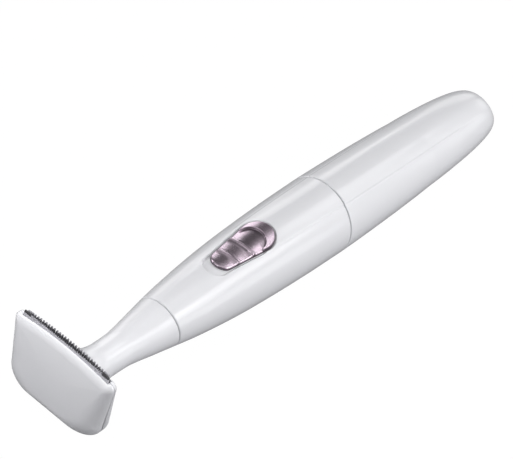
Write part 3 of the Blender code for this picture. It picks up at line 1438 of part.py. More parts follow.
def make_spring():
    front = CELL_END + FIT_GAP + SPRING_WIRE_RADIUS
    rise = SPRING_FREE_LENGTH - 2 * SPRING_WIRE_RADIUS
    parts = SPRING_TURNS * SPRING_TURN_PARTS
    points = []
    for i in range(parts + 1):
        share = i / parts
        angle = math.tau * SPRING_TURNS * share
        radius = SPRING_NARROW_RADIUS + (SPRING_WIDE_RADIUS - SPRING_NARROW_RADIUS) * share
        points.append((front + rise * share, radius * math.cos(angle), radius * math.sin(angle)))
    spring = wire("battery_spring", points, SPRING_WIRE_RADIUS, resolution=1)
    make_part(spring, CAP, SPRING_STEEL, 0.3, 1.0)


def make_spring_plate():
    """Disc behind the spring with a tab and a long arm forward to the negative strip."""
    plate = rod(
        "spring_plate",
        (SPRING_SEAT, 0, 0),
        "X",
        CONTACT_THICKNESS,
        PLATE_DISC_RADIUS,
        steps=ROUND_STEPS,
    )
    tab = block(
        "plate_tab",
        (SPRING_SEAT, -STRIP_HALF_WIDTH, STRIP_TOP - CONTACT_THICKNESS),
        (SPRING_SEAT + CONTACT_THICKNESS, STRIP_HALF_WIDTH, 0),
    )
    arm = block(
        "plate_arm",
        (TUBE_END + FIT_GAP + FIT_GAP, -STRIP_HALF_WIDTH, STRIP_TOP - CONTACT_THICKNESS),
        (SPRING_SEAT + CONTACT_THICKNESS, STRIP_HALF_WIDTH, STRIP_TOP),
    )
    make_part(join(plate, tab, arm), CAP, SPRING_STEEL, 0.35, 1.0)


for thing in list(bpy.data.objects):
    bpy.data.objects.remove(thing)

PARTS = new_collection("precision_hair_trimmer")
CUTTERS = new_collection("cutters")
HANDLE = new_body("handle", REAR_SEAM)
HEAD = new_body("head", FRONT_SEAM)
LEVER = new_body("lever", PIVOT)
CUTTER = new_body("cutter", COMB_FRONT, COMB_TIP)
SHAFT = new_body("shaft", MOTOR)
SWITCH = new_body("switch", STEM, RECESS_FLOOR)
CAP = new_body("cap", REAR_SEAM)

make_front_housing()
make_rear_cap()
make_neck_shell()
make_head_cover()
make_comb_and_cutter()
make_carrier()
make_lever()
make_seals()
make_cradle()
make_motor()
make_shaft()
make_battery_tube()
make_cell()
make_positive_contact()
make_negative_strip()
make_switch_plate()
make_leads()
make_switch()
make_spring_holder()
make_spring()
make_spring_plate()
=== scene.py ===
"""Looks of a precision hair trimmer: gloss white shells, a mauve slide switch and steel blades.

The file is laid out as an add-on and is run as a script. Metres, +Z up, in the frame of the
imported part: the handle lies along X with its head at -X. Heights inside the functions are
measured from the handle's axis.
"""

import json
import math

import bmesh
import bpy
import numpy as np
from bpy.props import FloatProperty, FloatVectorProperty, PointerProperty
from bpy.types import Operator, Panel, PropertyGroup
from mathutils import Matrix


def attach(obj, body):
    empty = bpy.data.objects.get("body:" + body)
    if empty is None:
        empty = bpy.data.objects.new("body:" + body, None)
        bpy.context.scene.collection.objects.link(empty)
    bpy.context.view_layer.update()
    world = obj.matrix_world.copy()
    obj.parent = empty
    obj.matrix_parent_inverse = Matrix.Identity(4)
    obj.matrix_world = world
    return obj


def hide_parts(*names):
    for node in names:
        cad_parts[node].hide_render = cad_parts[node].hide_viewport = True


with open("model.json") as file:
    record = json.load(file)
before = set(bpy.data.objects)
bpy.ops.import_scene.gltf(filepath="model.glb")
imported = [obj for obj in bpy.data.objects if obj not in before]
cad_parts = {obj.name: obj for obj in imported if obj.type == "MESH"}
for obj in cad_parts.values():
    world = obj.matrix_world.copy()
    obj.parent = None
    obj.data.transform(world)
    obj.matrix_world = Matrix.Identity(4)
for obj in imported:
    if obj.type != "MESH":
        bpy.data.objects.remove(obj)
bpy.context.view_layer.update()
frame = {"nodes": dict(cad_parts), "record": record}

bl_info = {
    "name": "Precision hair trimmer",
    "version": (1, 0, 0),
    "blender": (4, 5, 0),
    "location": "3D View > Sidebar > Trimmer",
    "description": "Builds the outer shells, the switch, the finishes and the studio of a hair trimmer",
    "category": "Object",
}

# Millimetres in a metre, for the tables in millimetres
MILLIMETRES = 1000

# Distance under which two points of a mesh are made one, and the least length of a normal
WELD = 1e-7
LEAST_NORMAL = 1e-12

# Angles between faces, in degrees, over which an edge stays sharp
SHARP_EDGE = 35
BUTTON_SHARP_EDGE = 60

# How the radius swells along each stretch: (place share, radius share)
NECK_TAPER = ((0, 0), (0.16, 0.03), (0.38, 0.23), (0.6, 0.51), (0.8, 0.75), (1, 1))
FRONT_SWELL = (
    (0, 0), (0.1, 0.23), (0.205, 0.43), (0.37, 0.677), (0.565, 0.85), (0.777, 0.957), (1, 1))
CAP_TAPER = ((0, 0), (0.15, 0.07), (0.31, 0.17), (0.64, 0.47), (0.92, 0.85), (1, 1))

# Powers of the cap's blunt end: of the way along it and of its radius
DOME_REACH_POWER = 1.2
DOME_BLUNT_POWER = 5.8

# How the head spreads out of the neck: (way share, spread share)
FLARE_SPREAD = (
    (0, 0), (0.2, 0.03), (0.47, 0.15), (0.67, 0.36), (0.79, 0.6), (0.872, 0.84), (0.933, 0.98), (1, 1))

# Edges of the raised band: (place, turn from the top in degrees)
BAND_RIGHT = (
    (-0.047, -25.2), (-0.013, -29.2), (0.014, -33.4), (0.0365, -35.2), (0.066, -37.2), (0.081, -38.2))
BAND_LEFT = (
    (-0.047, 31.8), (-0.013, 34.7), (0.014, 34.4), (0.0365, 37.7), (0.066, 39.8), (0.081, 40.8))

# Places where the band starts and has its full height, how far before the cap's end it is gone,
# and the radius of the cap's end up to which it fades
BAND_START = -0.0200
BAND_FULL = -0.0080
BAND_STOP = 0.006
BAND_TIP_RADIUS = 0.004

# Crease along the band's foot: its distance and width in half widths of the band's edge, and its
# depth as a share of the band's height
CREASE_AWAY = 1.6
CREASE_WIDTH = 0.6
CREASE_DEPTH = 0.35

# Columns of the handle: those beside each edge of the band in millimetres from it, the numbers
# from the belly to the band and across the band, and the least radius that spreads them
EDGE_COLUMNS = (
    -0.9, -0.66, -0.48, -0.36, -0.27, -0.2, -0.14, -0.08, -0.02, 0.04, 0.1, 0.16, 0.23, 0.32, 0.44,
    0.6, 0.9)
SIDE_COLUMNS = 44
BAND_COLUMNS = 84
LEAST_RADIUS = 0.002

# Steps between rows along the handle, and the finer ones of the pocket with their reach past it
ROW_STEP = 0.0006
POCKET_STEP = 0.00014
POCKET_FINE_REACH = 0.0015

# Numbers of rows and columns of the shells
ROUNDING_ROWS = 6
BORE_ROWS = 30
CAP_BORE_ROWS = 40
CAP_END_ROWS = 72
FLARE_ROWS = 60
FACE_ROWS = 26
PLUG_COLUMNS = 96

# Numbers of points along one half of the head's outline
BOTTOM_POINTS = 12
CORNER_POINTS = 17
SIDE_POINTS = 15
TOP_CORNER_POINTS = 9
ARCH_POINTS = 29

# Rows that crowd at the parting: way shares of the flare's first rows, then where its even rows
# start, and angles in degrees of the rim's rows
PARTING_ROWS = (0, 0.003, 0.007, 0.012)
EVEN_ROWS_START = 0.018
RIM_ANGLES = (*np.linspace(0, 86, 30), 87.2, 88, 88.6, 89.1, 89.5, 89.8, 90)

# Distance from the flare's last row to where the plain neck's rows are counted from, and the
# chamfer at the plug's end
NECK_ROW_GAP = 0.0004
PLUG_CHAMFER = 0.0003

# Size of the soft turn from the round belly to the flat one
FLAT_BLEND = 0.00004

# Faint lip of the pocket: its reach and depth
LIP_REACH = 0.0003
LIP_DEPTH = 0.00005

# Cutting tools: the stem's slot starts under the outer skin and has a height of its own, and the
# opening for the blades is cut past the head's top and past the parting
STEM_SLOT_BELOW = 0.003
STEM_SLOT_HEIGHT = 0.006
NOTCH_OVER = 0.003
NOTCH_BEHIND = 0.002

# Top of the switch button along its middle, in millimetres: (place after its front tip, height
# over the housing)
BUTTON_CREST = (
    (0.0, 0.16), (1.0, 0.16), (3.0, 0.06), (3.9, 0.04), (4.35, 0.1), (4.65, 0.26), (4.9, 0.2),
    (5.3, -0.02), (6.2, -0.08), (7.8, -0.08), (9.1, 0.02), (9.4, 0.1), (9.75, 0.42), (10.1, 0.44),
    (10.45, 0.06), (11.2, -0.06), (12.4, -0.12), (14.0, -0.14), (20.2, -0.12),
)

# Numbers of the button's rows and columns, and how much they crowd at its outline
BUTTON_ROWS = 340
BUTTON_COLUMNS = 141
BUTTON_UNDER_COLUMNS = 25
ROW_CROWDING = 0.35
COLUMN_CROWDING = 0.5

# Painted shade on the button: its colour is darkened where its relief is shaded and where it mirrors
# dark surroundings. Along its outline, for the shaded side wall: distances inside it between which
# the painted shade ends
OUTLINE_PAINTED_SHADE_END = (0.00004, 0.0002)

# Painted shadow under the hood's edge: how much, where it starts and is full in shares of the hood's
# radius, the share of the hood's step at which it starts to end, and the share of the hood's reach
# over which it sets in from the sides
HOOD_PAINTED_SHADE = 0.8
HOOD_PAINTED_SHADE_START = -0.8
HOOD_PAINTED_SHADE_FULL = 0.05
HOOD_PAINTED_SHADE_LAST = 0.6
HOOD_PAINTED_SHADE_SIDES = 0.25

# Painted shade on the dark front of the second ridge: how much, millimetres after the tip where it
# starts, is full, is last full and is gone, and places across between which it starts
RIDGE_PAINTED_SHADE = 0.8
RIDGE_PAINTED_SHADE_SPAN = (8.8, 9.3, 9.55, 9.75)
RIDGE_PAINTED_SHADE_SIDE = (-0.0024, -0.0018)

# Painted shade for the dark reflection in the middle of the scoops: how much, distances inside the
# outline between which it starts, and shares of the hood's radius between which it ends
SCOOP_PAINTED_SHADE = 0.38
SCOOP_PAINTED_SHADE_START = (0.0010, 0.0030)
SCOOP_PAINTED_SHADE_END = (-0.02, 0.02)

# Depth of the finishes' fine relief, and roughness of the clear coats
RELIEF_DEPTH = 0.00005
COAT_ROUGHNESS = 0.06

# What slow drifts and fine specks add to the tone of moulded plastic
DRIFT_PART = 0.65
SPECKS_PART = 0.35

# How dark the steels' second tones are, as shares of their first
COMB_SHADE = 0.82
CUTTER_SHADE = 0.7

# Painted shade on the comb's teeth tips, where the teeth lie in shadow: heights between which the
# tone falls and the share that is left of it, and, past a place across, how much lower that is
COMB_TIP_PAINTED_SHADE = {"Low": 0.02742, "High": 0.02752, "Share": 0.12, "End": 0.0115, "End drop": 0.0007}

# Floor: its half side, its points along a side, the share of its glow in what the camera sees, and
# the roughness, scale and bump of its paper
FLOOR_HALF = 2.5
FLOOR_POINTS = 5
FLOOR_GLOWS = 0.93
PAPER = ((0.75, 0.85), 60, 0.02)

# Light from all round: its tones at the horizon and from a height, which is the sine of the rise
SKY_LOW = (0.42, 0.425, 0.44, 1)
SKY_HIGH = (1.0, 1.0, 1.0, 1)
SKY_HIGH_FROM = 0.75

# Dark flag in that light: the direction that a level surface mirrors to the camera, the cosines
# of the angles from it at which the flag starts and is full, and the share of light that is left
FLAG_DIRECTION = (0.6470677, 0.3419645, 0.6814423)
FLAG_COSINES = (0.87, 0.99)
FLAG_LEFT = 0.2

# Softboxes round the trimmer: (turn from the rear in degrees, rise in degrees, side, watts)
LIGHT_REACH = 1.2
LIGHT_LIFT = 0.03
SOFTBOXES = (
    (0, 10, 0.45, 0.54), (30, 10, 0.45, 0.74), (60, 10, 0.45, 0.79), (120, 10, 0.45, 3.98),
    (180, 10, 0.45, 0.2), (270, 10, 0.45, 2.5), (300, 10, 0.45, 1.09), (330, 10, 0.45, 0.59),
    (348, 48, 0.36, 0.8), (48, 24, 0.36, 0.8), (288, 36, 0.5, 1.89), (324, 36, 0.5, 0.74),
    (0, 62, 0.5, 0.24), (240, 62, 0.5, 0.52),
)

# Small lights close by: (place, aim, size, watts)
NEAR_LIGHTS = (
    ((-0.112, 0.0, 0.075), (-0.088, 0.0, 0.02), (0.05, 0.03), 0.016),
    ((-0.16, 0.0, 0.075), (-0.088, 0.0, 0.02), (0.06, 0.04), 0.008),
    ((-0.13, 0.05, 0.06), (-0.088, 0.005, 0.02), (0.04, 0.04), 0.0102),
    ((0.0, -0.13, 0.12), (0.0, 0.0, 0.012), (0.2, 0.04), 0.019),
    ((0.06, -0.10, 0.12), (0.06, 0.0, 0.012), (0.1, 0.04), 0.0281),
)

# The camera's own axes, its sensor's width in millimetres and its near limit
CAMERA_RIGHT = (0.6353282, -0.735948, 0.2339629)
CAMERA_UP = (0.4214991, 0.5843294, 0.6934679)
CAMERA_BACK = (-0.6470677, -0.3419645, 0.6814423)
SENSOR_WIDTH = 36.0
CLIP_START = 0.05


def length(name, text, value):
    """A size in metres that the user can change."""
    return FloatProperty(name=name, description=text, default=value, unit="LENGTH", precision=5, step=0.01)


def colour(name, text, value):
    """A finish's colour that the user can change."""
    return FloatVectorProperty(
        name=name, description=text, default=value, subtype="COLOR", size=3, min=0.0, max=1.0)


def number(name, text, value):
    """A plain number that the user can change."""
    return FloatProperty(name=name, description=text, default=value)


class HandleSizes(PropertyGroup):
    """Sizes of the front housing, the rear cap and the neck between housing and head."""
    axis_height: length("Axis height", "Height of the handle's axis over the floor", 0.0101)
    front_seam: length("Front seam", "Place of the seam between head and housing", -0.0475)
    rear_seam: length("Rear seam", "Place of the seam between housing and cap", 0.0137)
    cap_body_length: length("Cap body", "Length of the cap before its rounded end", 0.0363)
    cap_dome_length: length("Cap end", "Length of the cap's rounded end", 0.0304)
    neck_radius: length("Neck radius", "Radius at the thinnest place of the neck", 0.0046)
    front_seam_radius: length("Front radius", "Radius at the front seam", 0.0070)
    belly_radius: length("Belly radius", "Radius at the rear seam, the widest place", 0.0107)
    dome_radius: length("Cap end radius", "Radius where the cap's rounded end starts", 0.0095)
    neck_taper_length: length("Neck taper", "Length over which the neck widens to the seam", 0.0184)
    front_slant: number("Front slant", "Lengthwise shift per height at the front seam", -0.169)
    end_slant: number("End slant", "Lengthwise shift per height at the cap's end", -0.31)
    slant_fade: length("Slant fade", "Distance from the front seam at which its slant is gone", 0.016)
    seam_gap: length("Seam gap", "Gap between two shells at a seam", 0.0003)
    seam_round: length("Seam rounding", "Radius of the rounded edges at the seams", 0.00028)
    housing_wall: length("Housing wall", "Wall of the front housing", 0.0014)
    cap_wall: length("Cap wall", "Wall of the rear cap", 0.0013)
    cap_end_wall: length("Cap end wall", "Wall at the cap's closed end", 0.0022)
    plug_bore: length("Plug bore", "Radius of the hole that the neck's plug goes in", 0.0054)
    plug_depth: length("Plug depth", "Depth of that hole", 0.0073)
    mouth_radius: length("Mouth radius", "Inner radius of the cap over the tube's sleeve", 0.0089)
    mouth_depth: length("Mouth depth", "Depth of that wider mouth", 0.0077)
    band_height: length("Band height", "Height of the raised band on top of the handle", 0.00013)
    band_edge: length("Band edge", "Half width of the band's sloping edge", 0.00022)
    band_fade: length("Band fade", "Distance before the cap's end over which the band runs out", 0.020)


class HeadSizes(PropertyGroup):
    """Sizes of the head, seen from the front, with heights from the handle's axis."""
    face: length("Face", "Place of the front face", -0.0879)
    depth: length("Depth", "Depth of the front cover at the axis", 0.0041)
    top: length("Top", "Height of the rim in the middle", 0.0168)
    arch_radius: length("Rim arch", "Radius of the rim's arch", 0.088)
    centre: length("Centre", "Height about which the neck spreads into the head", 0.0052)
    face_top_half: length("Face top half", "Half width of the face at the top", 0.0158)
    face_bottom_half: length("Face bottom half", "Half width of the face at the bottom", 0.012)
    face_bottom: length("Face bottom", "Depth of the face below the axis", 0.0058)
    face_corner: length("Face corner", "Radius of the face's lower corners", 0.0078)
    face_round: length("Face rounding", "Radius of the rounded edge round the face", 0.0029)
    face_crown: length("Face crown", "How far the face bulges in the middle", 0.00022)
    parting_top_half: length("Parting top half", "Half width at the parting, at the top", 0.01575)
    parting_bottom_half: length("Parting bottom half", "Half width at the parting, at the bottom", 0.0144)
    parting_bottom: length("Parting bottom", "Depth of the parting below the axis", 0.0066)
    parting_corner: length("Parting corner", "Radius of the parting's lower corners", 0.0058)
    parting_slant: number("Parting slant", "Lengthwise shift of the parting per height", -0.132)
    shoulder_half: length("Shoulder half", "Half width of the shell just behind the parting", 0.0154)
    shoulder_bottom: length("Shoulder bottom", "Depth of the shell just behind the parting", 0.0052)
    shoulder_corner: length("Shoulder corner", "Radius of its lower corners", 0.0069)
    shoulder_reach: number("Shoulder reach", "Share of the flare over which the parting turns into it", 0.08)
    top_corner: length("Top corner", "Radius of the rim's ends", 0.0017)
    flare_length: length("Flare length", "Length over which the neck spreads into the head", 0.0149)
    cover_wall: length("Cover wall", "Wall of the front cover", 0.0008)
    neck_wall: length("Neck wall", "Wall of the neck and the back of the head", 0.0011)
    edge_round: length("Edge rounding", "Radius of the edges at the parting", 0.00016)
    notch_front: length("Notch front", "Place where the opening for the blades starts", -0.08672)
    notch_rear: length("Notch rear", "Place where the opening for the blades ends", -0.08525)
    notch_half: length("Notch half", "Half width of that opening", 0.0138)
    notch_bottom: length("Notch bottom", "Height of that opening's floor", 0.0142)
    plug_radius: length("Plug radius", "Radius of the plug that goes in the housing", 0.0051)
    plug_hole: length("Plug hole", "Radius of the hole through that plug", 0.0041)
    plug_length: length("Plug length", "Length of the plug behind the seam", 0.0066)
    plug_root: length("Plug root", "Length of the plug before the seam", 0.0028)
    plug_flange: length("Plug flange", "Thickness of the web that carries the plug", 0.0016)
    groove_place: length("Groove place", "Distance of the seal's groove behind the seam", 0.0042)
    groove_width: length("Groove width", "Width of the seal's groove", 0.0011)
    groove_depth: length("Groove depth", "Depth of the seal's groove", 0.0005)


class SwitchSizes(PropertyGroup):
    """Sizes of the slide switch and its pocket in the housing."""
    front: length("Front", "Place of the button's front tip", -0.0296)
    rear: length("Rear", "Place of the button's rear end", -0.0092)
    front_radius: length("Front radius", "Radius of the front tip", 0.0031)
    rear_radius: length("Rear radius", "Radius of the rear end", 0.0045)
    travel: length("Travel", "How far the button slides towards the head", 0.0025)
    margin: length("Margin", "Gap between the button and its pocket", 0.0003)
    pocket_depth: length("Pocket depth", "Depth of the pocket below the housing", 0.0007)
    pocket_edge: length("Pocket edge", "Half width of the pocket's sloping edge", 0.00016)
    under_gap: length("Under gap", "Gap between the pocket's floor and the button", 0.0001)
    edge_round: length("Edge rounding", "Width of the button's rounded edge", 0.00045)
    edge_drop: length("Edge drop", "How far the button's edge lies below the housing", 0.00036)
    skew: number("Skew", "How far the ridges run back per width", 0.137)
    hood_height: length("Hood", "Height of the hood behind the scoops", 0.00048)
    hood_start: length("Hood start", "Start of the hood's edge at the sides, after the front tip", 0.0136)
    hood_reach: length("Hood reach", "How far that edge bows to the rear in the middle", 0.00335)
    hood_half: length("Hood half width", "Half width of the hood's edge", 0.0037)
    hood_rise: length("Hood rise", "Width of the step at the hood's edge", 0.0002)
    stem_front: length("Stem front", "Place of the stem's front", -0.0156)
    stem_length: length("Stem length", "Length of the stem", 0.0026)
    stem_half: length("Stem half width", "Half width of the stem", 0.0012)
    stem_bottom: length("Stem bottom", "Height of the stem's lower end over the axis", 0.0047)


class FinishColours(PropertyGroup):
    """Colours of the finishes."""
    pearl: colour("Pearl", "Lighter tone of the white shells", (0.80, 0.80, 0.825))
    pearl_shade: colour("Pearl shade", "Darker tone of the white shells", (0.765, 0.768, 0.795))
    mauve: colour("Mauve", "Lighter tone of the metallic button", (0.575, 0.505, 0.56))
    mauve_shade: colour("Mauve shade", "Darker tone of the metallic button", (0.45, 0.345, 0.43))
    comb: colour("Comb", "Tone of the comb's steel", (0.80, 0.79, 0.84))
    cutter: colour("Cutter", "Tone of the cutter's steel", (0.46, 0.45, 0.49))


class StageSettings(PropertyGroup):
    """The camera, the lights and the floor."""
    camera_place: FloatVectorProperty(
        name="Camera place", description="Where the camera stands", subtype="TRANSLATION",
        unit="LENGTH", size=3, default=(-0.79853, -0.4142616, 0.8476681))
    lens: number("Lens", "Focal length in millimetres on a 36 millimetre sensor", 348.6)
    shift_x: number("Shift across", "Sideways shift of the frame, in frame widths", -0.00097)
    shift_y: number("Shift up", "Upward shift of the frame, in frame widths", 0.00097)
    surround: number("Surround", "Strength of the soft light from all round", 0.515)
    power: number("Power", "Factor on every light's power", 1.0)
    glow: number("Glow", "Brightness of the floor as the camera sees it", 1.065)
    floor: colour("Floor", "Tone of the floor in reflections", (0.2, 0.2, 0.21))


def eased(table, at):
    """Value at each share along a table of (place, value): cubic between the points, with the
    slope at each point taken from its neighbours, held at both ends."""
    places, values = np.array(table, dtype=float).T
    slopes = np.gradient(values, places)
    at = np.clip(at, places[0], places[-1])
    left = np.clip(np.searchsorted(places, at, side="right") - 1, 0, len(places) - 2)
    span = places[left + 1] - places[left]
    t = (at - places[left]) / span
    rise = values[left + 1] - values[left]
    bend = t * (1 - t) * ((1 - t) * (slopes[left] * span - rise) + t * (rise - slopes[left + 1] * span))
    return values[left] + rise * t + bend


def soft_step(low, high, at):
    """0 below low, 1 above high, and t * t * (3 - 2 t) between them."""
    t = np.clip((at - low) / (high - low), 0, 1)
    return t * t * (3 - 2 * t)


def soft_span(start, full, last, gone, at):
    """0 before start and past gone, 1 from full to last, with soft steps between them."""
    return soft_step(start, full, at) * (1 - soft_step(last, gone, at))


def handle_radius(sizes, x):
    """Outer radius at each place: three swelling stretches through shares of their length, and a
    blunt end of radius dome_radius * (1 - reach ** 1.2) ** (1 / 5.8)."""
    neck = eased(NECK_TAPER, (x - sizes.front_seam + sizes.neck_taper_length) / sizes.neck_taper_length)
    front = eased(FRONT_SWELL, (x - sizes.front_seam) / (sizes.rear_seam - sizes.front_seam))
    cap = eased(CAP_TAPER, (x - sizes.rear_seam) / sizes.cap_body_length)
    reach = (x - sizes.rear_seam - sizes.cap_body_length) / sizes.cap_dome_length
    blunt = (1 - np.clip(reach, 0, 1) ** DOME_REACH_POWER) ** (1 / DOME_BLUNT_POWER)
    radius = sizes.neck_radius + (sizes.front_seam_radius - sizes.neck_radius) * neck
    radius = radius + (sizes.belly_radius - sizes.front_seam_radius) * front
    return (radius + (sizes.dome_radius - sizes.belly_radius) * cap) * blunt


def slant_at(sizes, x):
    """Lengthwise shift per height: it leans the rings near the front seam and the cap's end."""
    fade = np.maximum(1 - np.abs(x - sizes.front_seam) / sizes.slant_fade, 0)
    reach = (x - sizes.rear_seam - sizes.cap_body_length) / sizes.cap_dome_length
    return sizes.front_slant * fade**2 + sizes.end_slant * np.clip(reach, 0, 1) ** 2


def grid_faces(rows, columns, wrap):
    """Corner numbers of the quads of a grid of points, as one array."""
    across = np.arange(columns if wrap else columns - 1)
    along = np.arange(rows - 1)[:, None] * columns
    near = along + across
    far = along + (across + 1) % columns
    return np.stack([near, far, far + columns, near + columns], axis=-1).reshape(-1, 4)


def make_mesh(name, points, faces):
    """A mesh from an array of points and an array of quads, welded where points meet."""
    mesh = bpy.data.meshes.new(name)
    points = np.reshape(points, (-1, 3))
    mesh.vertices.add(len(points))
    mesh.vertices.foreach_set("co", np.ascontiguousarray(points, dtype=np.float32).ravel())
    mesh.loops.add(faces.size)
    mesh.loops.foreach_set("vertex_index", np.ascontiguousarray(faces, dtype=np.int32).ravel())
    mesh.polygons.add(len(faces))
    mesh.polygons.foreach_set("loop_start", np.arange(len(faces), dtype=np.int32) * 4)
    mesh.update(calc_edges=True)
    shape = bmesh.new()
    shape.from_mesh(mesh)
    bmesh.ops.remove_doubles(shape, verts=shape.verts, dist=WELD)
    bmesh.ops.dissolve_degenerate(shape, edges=shape.edges, dist=WELD)
    bmesh.ops.recalc_face_normals(shape, faces=shape.faces)
    shape.to_mesh(mesh)
    shape.free()
    return mesh


def make_piece(name, points, faces, sharp_degrees=SHARP_EDGE):
    """An object at the origin with smooth faces, and sharp edges over an angle."""
    piece = bpy.data.objects.new(name, make_mesh(name, points, faces))
    bpy.context.scene.collection.objects.link(piece)
    return shaded(piece, sharp_degrees)


def shaded(piece, sharp_degrees=SHARP_EDGE):
    """Smooth a piece's faces and keep its edges sharp over an angle."""
    piece.data.shade_smooth()
    piece.data.set_sharp_from_angle(angle=math.radians(sharp_degrees))
    return piece


def without(piece, *cutters):
    """Cut other shapes out of a piece, and apply the result to its mesh."""
    for cutter in cutters:
        boolean = piece.modifiers.new("Cut", "BOOLEAN")
        boolean.operation = "DIFFERENCE"
        boolean.solver = "MANIFOLD"
        boolean.object = cutter
    bpy.context.view_layer.update()
    graph = bpy.context.evaluated_depsgraph_get()
    mesh = bpy.data.meshes.new_from_object(piece.evaluated_get(graph))
    piece.modifiers.clear()
    piece.data = mesh
    for cutter in cutters:
        bpy.data.objects.remove(cutter)
    return shaded(piece)


def box_points(low, high):
    """Corners and quads of a box between two corners."""
    low, high = np.array(low), np.array(high)
    corners = np.array([[i & 1, i >> 1 & 1, i >> 2] for i in range(8)])
    faces = np.array([[0, 2, 3, 1], [4, 5, 7, 6], [0, 1, 5, 4], [2, 6, 7, 3], [0, 4, 6, 2], [1, 3, 7, 5]])
    return low + corners * (high - low), faces


def box_piece(name, low, high):
    """A box between two corners as an object."""
    return make_piece(name, *box_points(low, high))


def joined(*shells):
    """Points and quads of several shells as one pair of arrays."""
    points, faces, start = [], [], 0
    for shell_points, shell_faces in shells:
        points.append(shell_points.reshape(-1, 3))
        faces.append(shell_faces + start)
        start += len(points[-1])
    return np.concatenate(points), np.concatenate(faces)


def rounded_rows(start, end, rounding):
    """Places from start to end with close rows over the rounded edges, and each row's drop: a
    quarter circle, drop = r - sqrt(r^2 - (r - s)^2) at s from the edge."""
    turn = np.linspace(0, math.pi / 2, ROUNDING_ROWS + 1)[:-1]
    edge = rounding * (1 - np.cos(turn))
    drop = rounding * (1 - np.sin(turn))
    middle = np.linspace(start + rounding, end - rounding, int((end - start) / ROW_STEP))
    places = np.concatenate([start + edge, middle, (end - edge)[::-1]])
    drops = np.concatenate([drop, np.zeros(len(middle)), drop[::-1]])
    return places, drops


def band_turns(x, radius):
    """Turns from the top for every column at each place, and how far each column lies inside the
    band. Columns crowd where the band's two edges run, so that the edges stay crisp."""
    right = np.radians(eased(BAND_RIGHT, x))[:, None]
    left = np.radians(eased(BAND_LEFT, x))[:, None]
    around = np.maximum(radius, LEAST_RADIUS)[:, None]
    near = np.array(EDGE_COLUMNS) / MILLIMETRES / around
    half = near[:, -1:]
    below = np.linspace(0, 1, SIDE_COLUMNS)[None, :-1]
    between = np.linspace(0, 1, BAND_COLUMNS)[None, 1:-1]
    turns = np.concatenate([
        -math.pi + (right - half + math.pi) * below,
        right + near,
        right + half + (left - right - 2 * half) * between,
        left + near,
        math.pi - (math.pi - left - half) * below[:, ::-1][:, :-1],
    ], axis=1)
    inside = np.minimum(turns - right, left - turns) * around
    return turns, inside


def band_relief(sizes, x, inside):
    """Raised band: band_height times a soft step across each edge, with a shallow crease along
    the outer foot, all run out before the cap's end and beside the switch."""
    rise = soft_step(-sizes.band_edge, sizes.band_edge, inside)
    away = inside + CREASE_AWAY * sizes.band_edge
    foot = np.exp(-(away / (CREASE_WIDTH * sizes.band_edge)) ** 2)
    cap_end = sizes.rear_seam + sizes.cap_body_length + sizes.cap_dome_length
    shown = soft_span(BAND_START, BAND_FULL, cap_end - sizes.band_fade, cap_end - BAND_STOP, x)
    return sizes.band_height * (rise - CREASE_DEPTH * foot) * shown[:, None]


def teardrop_distance(front, rear, front_radius, rear_radius, x, y):
    """Distance outside a teardrop of two circles and their tangents, negative inside it."""
    front_centre = front + front_radius
    run = rear - rear_radius - front_centre
    lean = (front_radius - rear_radius) / run
    straight = math.sqrt(1 - lean**2)
    along = x - front_centre
    across = np.abs(y)
    way = straight * along - lean * across
    beside = lean * along + straight * across - front_radius
    at_front = np.hypot(along, across) - front_radius
    at_rear = np.hypot(along - run, across) - rear_radius
    return np.where(way < 0, at_front, np.where(way > straight * run, at_rear, beside))


def button_distance(switch, x, y, slid=0.0, margin=0.0):
    """Distance outside the button's outline, slid to the front and widened by a margin."""
    return teardrop_distance(
        switch.front - slid - margin, switch.rear - slid + margin,
        switch.front_radius + margin, switch.rear_radius + margin, x, y)


def pocket_relief(switch, x, y, height):
    """Pocket of the switch: its depth times a soft step of the distance to the two teardrops that
    the button fills at rest and slid, and a faint lip that falls off exponentially."""
    outside = np.minimum(
        button_distance(switch, x, y, 0, switch.margin),
        button_distance(switch, x, y, switch.travel, switch.margin))
    sunk = 1 - soft_step(-switch.pocket_edge, switch.pocket_edge, outside)
    lip = np.exp(-np.clip(outside, 0, None) / LIP_REACH) * LIP_DEPTH
    return -(switch.pocket_depth * sunk + lip) * (height > 0)


def on_flat(sizes, height):
    """Heights with a flat belly: a soft maximum of the height h over the floor and zero, which is
    half the sum of h and the root of h^2 plus the blend's square."""
    over = height + sizes.axis_height
    return (over + np.sqrt(over**2 + FLAT_BLEND**2)) / 2 - sizes.axis_height


def turned_points(sizes, x, radii, turns, flat=False):
    """Points of rings about the handle's axis, leaned by the slant at each ring's place."""
    across = radii * np.sin(turns)
    height = radii * np.cos(turns)
    along = x[:, None] + slant_at(sizes, x)[:, None] * height
    if flat:
        height = on_flat(sizes, height)
    return np.stack([along, across, height + sizes.axis_height], axis=-1)


